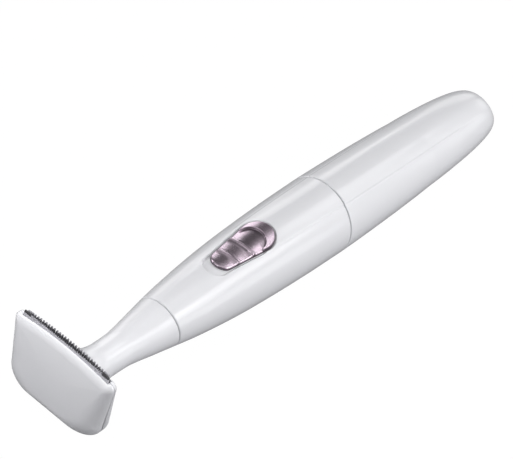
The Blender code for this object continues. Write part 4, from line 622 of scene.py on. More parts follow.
def front_housing_shell(sizes, switch):
    """A ring profile carried round the handle's axis: outer skin r(x) less the rounded edges, plus
    the band's and the pocket's relief, then the inner bores back to the front."""
    start = sizes.front_seam + sizes.seam_gap / 2
    end = sizes.rear_seam - sizes.seam_gap / 2
    pocket_front = switch.front - switch.travel - POCKET_FINE_REACH
    pocket_rear = switch.rear + POCKET_FINE_REACH
    x, drop = rounded_rows(start, end, sizes.seam_round)
    fine = np.arange(pocket_front, pocket_rear, POCKET_STEP)
    keep = (x < pocket_front) | (x > pocket_rear)
    places = np.concatenate([x[keep], fine])
    order = np.argsort(places)
    drop = np.concatenate([drop[keep], np.zeros(len(fine))])[order]
    x = places[order]
    radius = handle_radius(sizes, x)
    turns, inside = band_turns(x, radius)
    across = radius[:, None] * np.sin(turns)
    relief = band_relief(sizes, x, inside)
    relief = relief + pocket_relief(switch, x[:, None], across, np.cos(turns))
    outer = turned_points(sizes, x, radius[:, None] + relief - drop[:, None], turns, flat=True)

    plug_end = sizes.front_seam + sizes.plug_depth
    bore = np.linspace(end, plug_end, BORE_ROWS)
    bore_radius = handle_radius(sizes, bore) - sizes.housing_wall
    places = np.concatenate([bore, [plug_end, start]])
    radii = np.concatenate([bore_radius, [sizes.plug_bore, sizes.plug_bore]])
    inner_turns, _ = band_turns(places, handle_radius(sizes, places))
    inner = turned_points(sizes, places, radii[:, None], inner_turns)
    points = np.concatenate([outer, inner, outer[:1]])
    return points, grid_faces(len(points), turns.shape[1], True)


def rear_cap_shell(sizes):
    """The same kind of profile for the cap: outer skin to the closed end, where the rings shrink
    by a quarter turn, then the inner end, the inner skin and the wider mouth."""
    start = sizes.rear_seam + sizes.seam_gap / 2
    dome = sizes.rear_seam + sizes.cap_body_length
    cap_end = dome + sizes.cap_dome_length
    x, drop = rounded_rows(start, dome, sizes.seam_round)
    sides = x < dome - sizes.seam_round
    x, drop = x[sides], drop[sides]
    shrink = np.cos(np.linspace(0, math.pi / 2, CAP_END_ROWS))
    reach = (1 - shrink**DOME_BLUNT_POWER) ** (1 / DOME_REACH_POWER)
    places = np.concatenate([x, dome + sizes.cap_dome_length * reach])
    radii = np.concatenate([handle_radius(sizes, x) - drop, sizes.dome_radius * shrink])
    turns, inside = band_turns(places, radii)
    relief = band_relief(sizes, places, inside) * soft_step(0, BAND_TIP_RADIUS, radii)[:, None]
    outer = turned_points(sizes, places, radii[:, None] + relief, turns, flat=True)

    inner_end = cap_end - sizes.cap_end_wall
    mouth_end = start + sizes.mouth_depth
    inner = np.linspace(inner_end, mouth_end, CAP_BORE_ROWS)
    inner_radius = handle_radius(sizes, inner) - sizes.cap_wall
    places = np.concatenate([[inner_end], inner, [mouth_end, start]])
    radii = np.concatenate([[0.0], inner_radius, [sizes.mouth_radius, sizes.mouth_radius]])
    inner_turns, _ = band_turns(places, radii)
    within = turned_points(sizes, places, radii[:, None], inner_turns)
    points = np.concatenate([outer, within, outer[:1]])
    return points, grid_faces(len(points), turns.shape[1], True)


def head_outline(head, top_half, bottom_half, bottom, corner, shrink=0.0):
    """Head seen from the front as an array of (across, height): arched top, leaning sides, round
    corners. It starts at the middle of the bottom and runs up the left side, then mirrors."""
    top_half, bottom_half = top_half - shrink, bottom_half - shrink
    bottom, corner = bottom - shrink, corner - shrink / 2
    top_corner = head.top_corner - shrink / 2
    flat_half = top_half - top_corner
    edge = head.top - shrink - flat_half**2 / (2 * head.arch_radius)
    ways = np.linspace(0, 1, BOTTOM_POINTS, endpoint=False)
    floor = np.stack([(bottom_half - corner) * ways, np.full(BOTTOM_POINTS, -bottom)], axis=-1)
    turn = np.linspace(-math.pi / 2, 0, CORNER_POINTS)
    low_corner = np.stack([
        bottom_half - corner + corner * np.cos(turn), corner - bottom + corner * np.sin(turn)], axis=-1)
    ways = np.linspace(0, 1, SIDE_POINTS)[1:-1, None]
    side = low_corner[-1] + (np.array([top_half, edge - top_corner]) - low_corner[-1]) * ways
    turn = np.linspace(0, math.pi / 2, TOP_CORNER_POINTS)
    high_corner = np.stack([
        flat_half + top_corner * np.cos(turn), edge - top_corner + top_corner * np.sin(turn)], axis=-1)
    across = flat_half * (1 - np.linspace(0, 1, ARCH_POINTS)[1:])
    arch = np.stack([across, head.top - shrink - across**2 / (2 * head.arch_radius)], axis=-1)
    half = np.concatenate([floor, low_corner, side, high_corner, arch])
    return np.concatenate([half, half[-2:0:-1] * (-1, 1)])


def outward(points):
    """Unit normals of a grid that wraps round its columns, from differences of neighbours, turned
    away from each ring's middle."""
    along = np.gradient(points, axis=0)
    across = np.roll(points, -1, axis=1) - np.roll(points, 1, axis=1)
    normals = np.cross(across, along)
    normals = normals / np.maximum(np.linalg.norm(normals, axis=-1, keepdims=True), LEAST_NORMAL)
    return normals * np.sign(np.sum(normals * (points - points.mean(axis=1, keepdims=True))))


def walled(skin, wall, drops):
    """Close a skin into a shell: outer points sink by each row's drop, inner ones by the wall."""
    normals = outward(skin)
    outer = skin - normals * drops[:, None, None]
    inner = skin - normals * wall
    points = np.concatenate([outer, inner[::-1], outer[:1]])
    return points, grid_faces(len(points), skin.shape[1], True)


def row_drops(skin, rounding, at_start, at_end):
    """Quarter-circle drop of each row near a skin's ends, by its mean distance along the skin."""
    steps = np.linalg.norm(np.diff(skin, axis=0), axis=-1).mean(axis=1)
    way = np.concatenate([[0], np.cumsum(steps)])
    drops = np.zeros(len(way))
    for used, distance in ((at_start, way), (at_end, way[-1] - way)):
        if used:
            near = np.clip(rounding - distance, 0, rounding)
            drops = drops + rounding - np.sqrt(rounding**2 - near**2)
    return drops


def parting_outline(head):
    """Outline of the head at the parting between its cover and the neck."""
    return head_outline(
        head, head.parting_top_half, head.parting_bottom_half, head.parting_bottom, head.parting_corner)


def neck_skin(sizes, head):
    """Rings that turn from the head's parting outline into the round neck: each point is (1 - s)
    times the neck's circle plus s times the outline, where s follows the flare's spread."""
    parting = parting_outline(head)
    shoulder = head_outline(
        head, head.shoulder_half, head.shoulder_half, head.shoulder_bottom, head.shoulder_corner)
    parting_place = head.face + head.depth
    way = 1 - np.concatenate([PARTING_ROWS, np.linspace(EVEN_ROWS_START, 1, FLARE_ROWS)])
    spread = eased(FLARE_SPREAD, way)[:, None]
    x = parting_place + head.flare_length * (1 - way)
    radius = handle_radius(sizes, x)[:, None]
    reach = np.clip((1 - way) / head.shoulder_reach, 0, 1)[:, None, None]
    outline = parting * (1 - reach) + shoulder * reach
    angle = np.arctan2(outline[..., 1] - head.centre, outline[..., 0])
    across = (1 - spread) * radius * np.cos(angle) + spread * outline[..., 0]
    height = (1 - spread) * radius * np.sin(angle) + spread * outline[..., 1]
    along = x[:, None] + head.parting_slant * spread * height
    flare = np.stack([along, across, height + sizes.axis_height], axis=-1)

    seam = sizes.front_seam - sizes.seam_gap / 2
    places, _ = rounded_rows(x[-1] + NECK_ROW_GAP, seam, sizes.seam_round)
    # The flare's last row stands where the rounded start and one more row would
    places = places[ROUNDING_ROWS + 1:]
    radius = handle_radius(sizes, places)[:, None]
    angle = angle[-1][None, :]
    height = radius * np.sin(angle)
    along = places[:, None] + slant_at(sizes, places)[:, None] * height
    neck = np.stack([along, radius * np.cos(angle), height + sizes.axis_height], axis=-1)
    skin = np.concatenate([flare, neck])
    at_parting = row_drops(skin, head.edge_round, True, False)
    at_seam = row_drops(skin, sizes.seam_round, False, True)
    return walled(skin, head.neck_wall, at_parting + at_seam)


def neck_plug(sizes, head):
    """The stepped profile of web, plug and seal groove, turned about the handle's axis."""
    web_start = sizes.front_seam - head.plug_root - head.plug_flange
    web_end = sizes.front_seam - head.plug_root
    web_radius = handle_radius(sizes, web_start) - head.neck_wall / 2
    groove = sizes.front_seam + head.groove_place
    half_groove = head.groove_width / 2
    groove_radius = head.plug_radius - head.groove_depth
    plug_end = sizes.front_seam + head.plug_length
    profile = np.array([
        (web_start, head.plug_hole), (web_start, web_radius), (web_end, web_radius),
        (web_end, head.plug_radius), (groove - half_groove, head.plug_radius),
        (groove - half_groove, groove_radius), (groove + half_groove, groove_radius),
        (groove + half_groove, head.plug_radius), (plug_end - PLUG_CHAMFER, head.plug_radius),
        (plug_end, head.plug_radius - PLUG_CHAMFER), (plug_end, head.plug_hole),
        (web_start, head.plug_hole),
    ])
    turns = np.linspace(0, math.tau, PLUG_COLUMNS, endpoint=False)[None, :]
    radii = profile[:, 1:]
    points = np.stack([
        profile[:, :1] + 0 * turns, radii * np.sin(turns), radii * np.cos(turns) + sizes.axis_height,
    ], axis=-1)
    return points, grid_faces(len(profile), turns.shape[1], True)


def head_cover_shell(sizes, head):
    """Rings from the middle of the face outwards, then a quarter of an ellipse from the face's
    rounded edge back to the parting: out by the sine of its angle, back by one less the cosine.
    The face bulges by its crown times one less the square of the ring's share."""
    middle = np.array([0, head.centre])
    edge = head_outline(
        head, head.face_top_half, head.face_bottom_half, head.face_bottom, head.face_corner, head.face_round)
    share = np.sin(np.linspace(0, math.pi / 2, FACE_ROWS))[:-1, None, None]
    flat = middle + (edge - middle) * share
    crown = head.face + head.face_crown * share[..., 0] ** 2
    face = np.concatenate([crown[..., None] + 0 * flat[..., :1], flat], axis=-1)
    parting = parting_outline(head)
    last = head.face + head.depth - sizes.seam_gap + head.parting_slant * parting[:, 1:]
    start = head.face + head.face_crown
    angles = np.radians(RIM_ANGLES)[:, None, None]
    place = start + (last - start) * (1 - np.cos(angles))
    rim = np.concatenate([place, edge + (parting - edge) * np.sin(angles)], axis=-1)
    skin = np.concatenate([face, rim])
    skin[..., 2] += sizes.axis_height
    normals = outward(skin)
    normals[0] = (-1, 0, 0)
    drops = np.concatenate([[0], row_drops(skin[1:], head.edge_round, False, True)])[:, None, None]
    outer = skin - normals * drops
    inner = skin - normals * head.cover_wall
    points = np.concatenate([outer, inner[::-1]])
    return points, grid_faces(len(points), skin.shape[1], True)


def beyond_hood_edge(switch, after, y):
    """How far a place lies beyond the half ellipse of the hood's edge, as a share of its radius,
    and how far along the edge's reach it lies."""
    along = (after - switch.hood_start) / switch.hood_reach
    return np.hypot(along, y / switch.hood_half) - 1, along


def button_top(switch, x, y):
    """Height of the button over the housing. The crest's table runs along the button, skewed a
    little. The hood lies outside a half ellipse, by a soft step, and the edge falls in a quarter
    ellipse to the outline."""
    after = x - switch.front
    inside = -button_distance(switch, x, y)
    crest = eased(BUTTON_CREST, (after + switch.skew * y) * MILLIMETRES) / MILLIMETRES
    beyond, along = beyond_hood_edge(switch, after, y)
    step = switch.hood_rise / switch.hood_reach
    hood = soft_step(0, step, beyond) * soft_step(-step, step, along)
    top = crest + (switch.hood_height - crest) * hood
    round_share = np.clip(1 - inside / switch.edge_round, 0, 1)
    round_edge = np.sqrt(1 - round_share**2)
    return -switch.edge_drop + (top + switch.edge_drop) * round_edge


def paint_button_shade(piece, switch):
    """Store on each point how much shade is painted there, for the shadows and dark reflections of
    the button's relief: along the outline, under the hood's edge, before the second ridge and, less,
    in the middle of the scoops."""
    places = np.empty(len(piece.data.vertices) * 3)
    piece.data.vertices.foreach_get("co", places)
    x, y, _ = places.reshape(-1, 3).T
    after = x - switch.front
    inside = -button_distance(switch, x, y)
    beyond, along = beyond_hood_edge(switch, after, y)
    step = switch.hood_rise / switch.hood_reach
    outline = 1 - soft_step(*OUTLINE_PAINTED_SHADE_END, inside)
    under_hood = soft_span(HOOD_PAINTED_SHADE_START, HOOD_PAINTED_SHADE_FULL, step * HOOD_PAINTED_SHADE_LAST, step, beyond)
    under_hood = HOOD_PAINTED_SHADE * under_hood * soft_step(0, HOOD_PAINTED_SHADE_SIDES, along)
    crest = (after + switch.skew * y) * MILLIMETRES
    before_ridge = RIDGE_PAINTED_SHADE * soft_span(*RIDGE_PAINTED_SHADE_SPAN, crest) * soft_step(*RIDGE_PAINTED_SHADE_SIDE, y)
    scoops = SCOOP_PAINTED_SHADE * soft_step(*SCOOP_PAINTED_SHADE_START, inside) * (1 - soft_step(*SCOOP_PAINTED_SHADE_END, beyond))
    # Painted shade: the strongest of the four masks darkens the colour where the relief is shaded and mirrors
    # dark surroundings
    painted_shade = np.max([outline, under_hood, before_ridge, scoops], axis=0)
    layer = piece.data.attributes.new("painted_shade", "FLOAT", "POINT")
    layer.data.foreach_set("value", painted_shade.astype(np.float32))


def half_chord(x, centre, radius):
    """Half width of a circle at each place, zero outside it."""
    return np.sqrt(np.clip(radius**2 - (x - centre) ** 2, 0, None))


def switch_button_shell(sizes, switch):
    """Loops across the button, carried from tip to rear: each runs over the top, down the side
    and back under it. Their half width follows the front circle, the tangent and the rear circle.
    Rows crowd at both ends, where the teardrop turns."""
    share = (1 - np.cos(np.linspace(0, math.pi, BUTTON_ROWS))) / 2
    share = ROW_CROWDING * share + (1 - ROW_CROWDING) * np.linspace(0, 1, BUTTON_ROWS)
    x = switch.front + (switch.rear - switch.front) * share
    front_centre = switch.front + switch.front_radius
    rear_centre = switch.rear - switch.rear_radius
    lean = (switch.rear_radius - switch.front_radius) / (rear_centre - front_centre)
    front_meet = front_centre - switch.front_radius * lean
    rear_meet = rear_centre - switch.rear_radius * lean
    straight = math.sqrt(1 - lean**2)
    at_front = half_chord(x, front_centre, switch.front_radius)
    at_rear = half_chord(x, rear_centre, switch.rear_radius)
    beside = switch.front_radius / straight + (x - front_centre) * lean / straight
    half = np.where(x < front_meet, at_front, np.where(x > rear_meet, at_rear, beside))
    over = np.sin(np.linspace(-math.pi / 2, math.pi / 2, BUTTON_COLUMNS))
    over = COLUMN_CROWDING * over + (1 - COLUMN_CROWDING) * np.linspace(-1, 1, BUTTON_COLUMNS)
    y = half[:, None] * over
    radius = handle_radius(sizes, x)[:, None]
    top = np.sqrt((radius + button_top(switch, x[:, None], y)) ** 2 - y**2)
    under = np.linspace(1, -1, BUTTON_UNDER_COLUMNS)[None, :]
    under_y = half[:, None] * under
    floor = radius - switch.pocket_depth + switch.under_gap
    bottom = np.sqrt(floor**2 - under_y**2)
    across = np.concatenate([y, under_y], axis=1)
    height = np.concatenate([top, bottom], axis=1) + sizes.axis_height
    points = np.stack([x[:, None] + 0 * across, across, height], axis=-1)
    button = (points, grid_faces(len(x), across.shape[1], True))
    stem_top = handle_radius(sizes, switch.stem_front)
    stem = box_points(
        (switch.stem_front, -switch.stem_half, switch.stem_bottom + sizes.axis_height),
        (switch.stem_front + switch.stem_length, switch.stem_half,
         stem_top - switch.pocket_depth / 2 + sizes.axis_height))
    return joined(button, stem)


SOCKET_KINDS = {"colour": "NodeSocketColor", "value": "NodeSocketFloat", "vector": "NodeSocketVector"}
PATTERN_INPUTS = (
    ("Place", "vector", None), ("Tone", "colour", (0.8, 0.8, 0.8, 1)),
    ("Shade", "colour", (0.7, 0.7, 0.7, 1)), ("Rough low", "value", 0.2),
    ("Rough high", "value", 0.3), ("Scale", "value", 400.0),
)
PATTERN_OUTPUTS = (("Colour", "colour"), ("Roughness", "value"), ("Height", "value"))


def feed(tree, made, inputs):
    """Link each of a node's named inputs to a socket, or set it to a plain value."""
    for key, value in inputs.items():
        if isinstance(value, bpy.types.NodeSocket):
            tree.links.new(value, made.inputs[key])
        else:
            made.inputs[key].default_value = value


def node(tree, kind, inputs=None, **settings):
    """A new node with its settings, and its inputs linked or set."""
    made = tree.nodes.new(kind)
    for key, value in settings.items():
        setattr(made, key, value)
    feed(tree, made, inputs or {})
    return made


def shared_group(name, inputs, outputs, fill):
    """A shader node group with named sockets, made when it is first asked for. The fill function
    places its nodes and returns a socket for each output."""
    if name in bpy.data.node_groups:
        return bpy.data.node_groups[name]
    tree = bpy.data.node_groups.new(name, "ShaderNodeTree")
    for label, kind, default in inputs:
        socket = tree.interface.new_socket(name=label, in_out="INPUT", socket_type=SOCKET_KINDS[kind])
        if default is not None:
            socket.default_value = default
    for label, kind in outputs:
        tree.interface.new_socket(name=label, in_out="OUTPUT", socket_type=SOCKET_KINDS[kind])
    ins, outs = tree.nodes.new("NodeGroupInput"), tree.nodes.new("NodeGroupOutput")
    for (label, _), socket in zip(outputs, fill(tree, ins.outputs)):
        tree.links.new(socket, outs.inputs[label])
    return tree


def blend_tones(tree, mask, ins):
    """Mix the pattern's two tones by a mask."""
    return node(
        tree, "ShaderNodeMix", {0: mask, 6: ins["Tone"], 7: ins["Shade"]}, data_type="RGBA").outputs[2]


def spread_roughness(tree, mask, ins):
    """Turn a 0 to 1 mask into a roughness between the pattern's two."""
    spread = {"Value": mask, "To Min": ins["Rough low"], "To Max": ins["Rough high"]}
    return node(tree, "ShaderNodeMapRange", spread).outputs["Result"]


def darkened(tree, colour_in, factor):
    """A colour times a factor."""
    scaled = node(tree, "ShaderNodeVectorMath", {0: colour_in, "Scale": factor}, operation="SCALE")
    return scaled.outputs[0]


def moulded_pattern(tree, ins):
    """Moulded plastic: slow drifts of tone and gloss, and a fine orange-peel height."""
    drift = node(tree, "ShaderNodeTexNoise", {
        "Vector": ins["Place"], "Scale": 90.0, "Detail": 3.0, "Roughness": 0.55}).outputs["Fac"]
    peel = node(tree, "ShaderNodeTexNoise", {
        "Vector": ins["Place"], "Scale": ins["Scale"], "Detail": 2.0, "Roughness": 0.5}).outputs["Fac"]
    specks = node(tree, "ShaderNodeTexNoise", {
        "Vector": ins["Place"], "Scale": 2600.0, "Detail": 2.0}).outputs["Fac"]
    fine = node(tree, "ShaderNodeMath", {0: specks, 1: SPECKS_PART}, operation="MULTIPLY")
    total = node(
        tree, "ShaderNodeMath", {0: drift, 1: DRIFT_PART, 2: fine.outputs[0]}, operation="MULTIPLY_ADD")
    return blend_tones(tree, total.outputs[0], ins), spread_roughness(tree, drift, ins), peel


def flake_pattern(tree, ins):
    """Metallic lacquer: tiny flakes of different tone under a smooth coat."""
    flake = node(tree, "ShaderNodeTexVoronoi", {"Vector": ins["Place"], "Scale": ins["Scale"]})
    drift = node(tree, "ShaderNodeTexNoise", {"Vector": ins["Place"], "Scale": 160.0, "Detail": 3.0})
    split = node(tree, "ShaderNodeSeparateColor", {"Color": flake.outputs["Color"]}).outputs
    return blend_tones(tree, split[0], ins), spread_roughness(tree, drift.outputs["Fac"], ins), split[1]


def ground_pattern(tree, ins):
    """Ground metal: fine lines, drawn out along one axis by an uneven scale of the place."""
    drawn = node(tree, "ShaderNodeMapping", {"Vector": ins["Place"], "Scale": ins["Stretch"]})
    lines = node(tree, "ShaderNodeTexNoise", {
        "Vector": drawn.outputs["Vector"], "Scale": ins["Scale"], "Detail": 4.0, "Roughness": 0.6})
    blotch = node(tree, "ShaderNodeTexNoise", {"Vector": ins["Place"], "Scale": 220.0, "Detail": 2.0})
    line = lines.outputs["Fac"]
    return blend_tones(tree, line, ins), spread_roughness(tree, blotch.outputs["Fac"], ins), line


def moulded_group():
    """The shared group of moulded plastic."""
    return shared_group("Moulded plastic", PATTERN_INPUTS, PATTERN_OUTPUTS, moulded_pattern)


def flake_group():
    """The shared group of metallic lacquer."""
    return shared_group("Metal flake", PATTERN_INPUTS, PATTERN_OUTPUTS, flake_pattern)


def ground_group():
    """The shared group of ground metal, which has the lines' stretch as one more input."""
    inputs = (*PATTERN_INPUTS, ("Stretch", "vector", (1.0, 0.05, 1.0)))
    return shared_group("Ground metal", inputs, PATTERN_OUTPUTS, ground_pattern)


def painted_edge_shade(tree, ins):
    """Painted shade on an edge: the tone falls to a share of itself above a height, which is lower
    at both ends of the plate."""
    split = node(tree, "ShaderNodeSeparateXYZ", {0: ins["Place"]}).outputs
    beside = node(tree, "ShaderNodeMath", {0: split["Y"]}, operation="ABSOLUTE")
    past = node(tree, "ShaderNodeMath", {0: beside.outputs[0], 1: ins["End"]}, operation="GREATER_THAN")
    lifted = node(
        tree, "ShaderNodeMath", {0: past.outputs[0], 1: ins["End drop"], 2: split["Z"]},
        operation="MULTIPLY_ADD")
    fall = node(
        tree, "ShaderNodeMapRange",
        {"Value": lifted.outputs[0], "From Min": ins["Low"], "From Max": ins["High"], "To Min": 1.0,
         "To Max": ins["Share"]},
        interpolation_type="SMOOTHSTEP")
    return (darkened(tree, ins["Colour"], fall.outputs["Result"]),)


def painted_edge_shade_group():
    """The shared group of the painted edge shade."""
    inputs = (
        ("Place", "vector", None), ("Colour", "colour", (1, 1, 1, 1)), ("Low", "value", 0.0),
        ("High", "value", 1.0), ("Share", "value", 0.2), ("End", "value", 1.0), ("End drop", "value", 0.0))
    return shared_group("Painted edge shade", inputs, PATTERN_OUTPUTS[:1], painted_edge_shade)


def painted_shade_darkening(tree, ins):
    """Painted shade: the tone falls to a share of itself where the mask is one."""
    fall = node(tree, "ShaderNodeMapRange", {"Value": ins["Mask"], "To Min": 1.0, "To Max": ins["Share"]})
    return (darkened(tree, ins["Colour"], fall.outputs["Result"]),)


def painted_shade_group():
    """The shared group of the painted shade."""
    inputs = (("Colour", "colour", (1, 1, 1, 1)), ("Mask", "value", 0.0), ("Share", "value", 0.3))
    return shared_group("Painted shade", inputs, PATTERN_OUTPUTS[:1], painted_shade_darkening)


def finish(name, pattern_group, tone, shade, rough, scale, bump, metallic=0.0, coat=0.0, stretch=None,
           tips=None, painted_shade=None):
    """A material, made when it is first asked for: a shared pattern group feeds the colour, the
    roughness and a fine bump of the shader. Painted shade, on the comb's tips and on the button's
    relief, may darken the colour."""
    if name in bpy.data.materials:
        return bpy.data.materials[name]
    material = bpy.data.materials.new(name)
    material.use_nodes = True
    tree = material.node_tree
    place = node(tree, "ShaderNodeTexCoord").outputs["Object"]
    pattern = node(
        tree, "ShaderNodeGroup",
        {"Place": place, "Tone": (*tone, 1), "Shade": (*shade, 1), "Rough low": rough[0],
         "Rough high": rough[1], "Scale": scale},
        node_tree=pattern_group())
    if stretch:
        pattern.inputs["Stretch"].default_value = stretch
    base = pattern.outputs["Colour"]
    # Painted shade on the comb's teeth tips darkens the colour above a height
    if tips:
        edge = node(
            tree, "ShaderNodeGroup", {"Place": place, "Colour": base, **tips}, node_tree=painted_edge_shade_group())
        base = edge.outputs["Colour"]
    # Painted shade on the button's relief darkens the colour by its stored mask
    if painted_shade:
        layer = node(tree, "ShaderNodeAttribute", attribute_name="painted_shade")
        painted_shade_node = node(
            tree, "ShaderNodeGroup",
            {"Colour": base, "Mask": layer.outputs["Fac"], "Share": painted_shade}, node_tree=painted_shade_group())
        base = painted_shade_node.outputs["Colour"]
    relief = node(tree, "ShaderNodeBump", {
        "Strength": bump, "Distance": RELIEF_DEPTH, "Height": pattern.outputs["Height"]})
    feed(tree, tree.nodes["Principled BSDF"], {
        "Base Color": base, "Roughness": pattern.outputs["Roughness"],
        "Normal": relief.outputs["Normal"], "Metallic": metallic, "Coat Weight": coat,
        "Coat Roughness": COAT_ROUGHNESS})
    return material


def slot_recipes(colours):
    """Finish of each of the record's slots: the material's name, its pattern, its two tones, the
    two ends of its roughness, the pattern's scale and bump, and what only some finishes have."""
    plastic, flake, metal = moulded_group, flake_group, ground_group
    comb_shade = [part * COMB_SHADE for part in colours.comb]
    cutter_shade = [part * CUTTER_SHADE for part in colours.cutter]
    return {
        "pearl_shell": (
            "pearl_white_gloss", plastic, colours.pearl, colours.pearl_shade, (0.20, 0.27), 900, 0.05,
            {"coat": 0.35}),
        # The button's colour falls to 0.34 of itself where shade is painted
        "mauve_metallic": (
            "mauve_lacquer", flake, colours.mauve, colours.mauve_shade, (0.23, 0.29), 9000, 0.015,
            {"metallic": 0.95, "coat": 0.1, "painted_shade": 0.34}),
        # The comb's teeth tips get painted shade
        "comb_steel": (
            "ground_comb_steel", metal, colours.comb, comb_shade, (0.22, 0.34), 9000, 0.10,
            {"metallic": 0.45, "stretch": (1.0, 0.04, 1.0), "tips": COMB_TIP_PAINTED_SHADE}),
        "cutter_steel": (
            "dark_cutter_steel", metal, colours.cutter, cutter_shade, (0.30, 0.42), 9000, 0.10,
            {"metallic": 0.45, "stretch": (1.0, 1.0, 0.05)}),
        "screw_steel": (
            "satin_screw_steel", metal, (0.62, 0.62, 0.64), (0.5, 0.5, 0.52), (0.28, 0.4), 6000, 0.08,
            {"metallic": 1.0, "stretch": (1.0, 0.3, 1.0)}),
        "spring_steel": (
            "bright_spring_steel", metal, (0.58, 0.59, 0.61), (0.46, 0.47, 0.5), (0.16, 0.28), 5000, 0.06,
            {"metallic": 1.0, "stretch": (0.2, 1.0, 1.0)}),
        "can_steel": (
            "zinc_plated_can", metal, (0.66, 0.67, 0.68), (0.55, 0.57, 0.6), (0.24, 0.38), 1500, 0.08,
            {"metallic": 1.0, "stretch": (0.06, 1.0, 1.0)}),
        "magnet": (
            "sintered_magnet", plastic, (0.13, 0.13, 0.14), (0.08, 0.08, 0.085), (0.55, 0.7), 3000, 0.3, {}),
        "copper": (
            "lacquered_copper", metal, (0.75, 0.4, 0.2), (0.55, 0.26, 0.12), (0.25, 0.35), 2500, 0.5,
            {"metallic": 1.0, "stretch": (1.0, 0.05, 0.05)}),
        "contact_brass": (
            "bright_brass", metal, (0.8, 0.64, 0.33), (0.66, 0.5, 0.24), (0.2, 0.32), 3000, 0.08,
            {"metallic": 1.0, "stretch": (0.08, 1.0, 1.0)}),
        "dark_plastic": (
            "dark_matte_plastic", plastic, (0.055, 0.055, 0.06), (0.035, 0.035, 0.04), (0.42, 0.55),
            2600, 0.25, {}),
        "lever_plastic": (
            "acetal_lever", plastic, (0.76, 0.76, 0.73), (0.7, 0.7, 0.66), (0.35, 0.45), 1800, 0.15, {}),
        "inner_plastic": (
            "grey_inner_plastic", plastic, (0.46, 0.48, 0.51), (0.4, 0.42, 0.45), (0.4, 0.52), 2200, 0.2, {}),
        "board": (
            "pressed_board", plastic, (0.36, 0.21, 0.11), (0.27, 0.15, 0.07), (0.5, 0.62), 4200, 0.3, {}),
        "cell_can": (
            "cell_label", plastic, (0.10, 0.33, 0.20), (0.07, 0.26, 0.15), (0.26, 0.36), 1600, 0.06,
            {"coat": 0.2}),
        "seal_rubber": (
            "black_seal_rubber", plastic, (0.035, 0.035, 0.035), (0.02, 0.02, 0.02), (0.6, 0.75),
            4200, 0.3, {}),
        "red_wire": (
            "red_wire_sleeve", plastic, (0.6, 0.05, 0.045), (0.48, 0.03, 0.03), (0.35, 0.48), 3500, 0.15, {}),
        "black_wire": (
            "black_wire_sleeve", plastic, (0.03, 0.03, 0.03), (0.02, 0.02, 0.02), (0.35, 0.48),
            3500, 0.15, {}),
    }


def slot_finish(slot):
    """The material of one of the record's slots."""
    *values, extras = slot_recipes(bpy.context.scene.trimmer_colours)[slot]
    return finish(*values, **extras)


def node_slots():
    """The record's material slot of each node."""
    return {part["node"]: part["material_slot"] for part in frame["record"]["subparts"]}


def node_body(name):
    """The record's body that a node belongs to."""
    return next(body for body, names in frame["record"]["behaviour"]["bodies"].items() if name in names)


def place_piece(piece, name):
    """Give a new piece its material, and let it ride and stand for its CAD node."""
    slot = node_slots()[name]
    piece.data.materials.clear()
    piece.data.materials.append(slot_finish(slot))
    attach(piece, node_body(name))
    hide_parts(name)
    return piece


def dress_nodes(names):
    """Give kept CAD nodes their detailed materials."""
    slots = node_slots()
    for name in names:
        material = slot_finish(slots[name])
        for slot in frame["nodes"][name].material_slots:
            slot.material = material


class TRIMMER_OT_front_housing(Operator):
    """Build the front housing with its raised band and the pocket of the switch"""
    bl_idname = "trimmer.front_housing"
    bl_label = "Front housing"

    def execute(self, context):
        sizes, switch = context.scene.trimmer_handle, context.scene.trimmer_switch
        piece = make_piece("front_housing_shell", *front_housing_shell(sizes, switch))
        low = handle_radius(sizes, switch.stem_front) - STEM_SLOT_BELOW + sizes.axis_height
        half = switch.stem_half + switch.margin
        slot = box_piece(
            "stem_slot_tool",
            (switch.stem_front - switch.travel - switch.margin, -half, low),
            (switch.stem_front + switch.stem_length + switch.margin, half, low + STEM_SLOT_HEIGHT),
        )
        place_piece(without(piece, slot), "front_housing")
        return {"FINISHED"}


class TRIMMER_OT_rear_cap(Operator):
    """Build the rear cap with its closed end and the raised band that runs out on it"""
    bl_idname = "trimmer.rear_cap"
    bl_label = "Rear cap"

    def execute(self, context):
        place_piece(make_piece("rear_cap_shell", *rear_cap_shell(context.scene.trimmer_handle)), "rear_cap")
        return {"FINISHED"}


def blade_notch(head, sizes, rear):
    """The tool that cuts the opening for the blades, from its front to a rear place."""
    return box_piece(
        "blade_notch_tool",
        (head.notch_front, -head.notch_half, head.notch_bottom + sizes.axis_height),
        (rear, head.notch_half, head.top + NOTCH_OVER + sizes.axis_height),
    )


class TRIMMER_OT_neck_shell(Operator):
    """Build the neck with its plug and the back of the head"""
    bl_idname = "trimmer.neck_shell"
    bl_label = "Neck and back of the head"

    def execute(self, context):
        sizes, head = context.scene.trimmer_handle, context.scene.trimmer_head
        piece = make_piece("neck_shell_skin", *neck_skin(sizes, head))
        without(piece, blade_notch(head, sizes, head.notch_rear))
        shape = bmesh.new()
        shape.from_mesh(piece.data)
        shape.from_mesh(make_mesh("neck_plug", *neck_plug(sizes, head)))
        shape.to_mesh(piece.data)
        shape.free()
        place_piece(shaded(piece), "neck_shell")
        return {"FINISHED"}


class TRIMMER_OT_head_cover(Operator):
    """Build the front cover of the head"""
    bl_idname = "trimmer.head_cover"
    bl_label = "Front cover of the head"

    def execute(self, context):
        sizes, head = context.scene.trimmer_handle, context.scene.trimmer_head
        piece = make_piece("head_cover_skin", *head_cover_shell(sizes, head))
        rear = head.face + head.depth + NOTCH_BEHIND
        place_piece(without(piece, blade_notch(head, sizes, rear)), "head_cover")
        return {"FINISHED"}


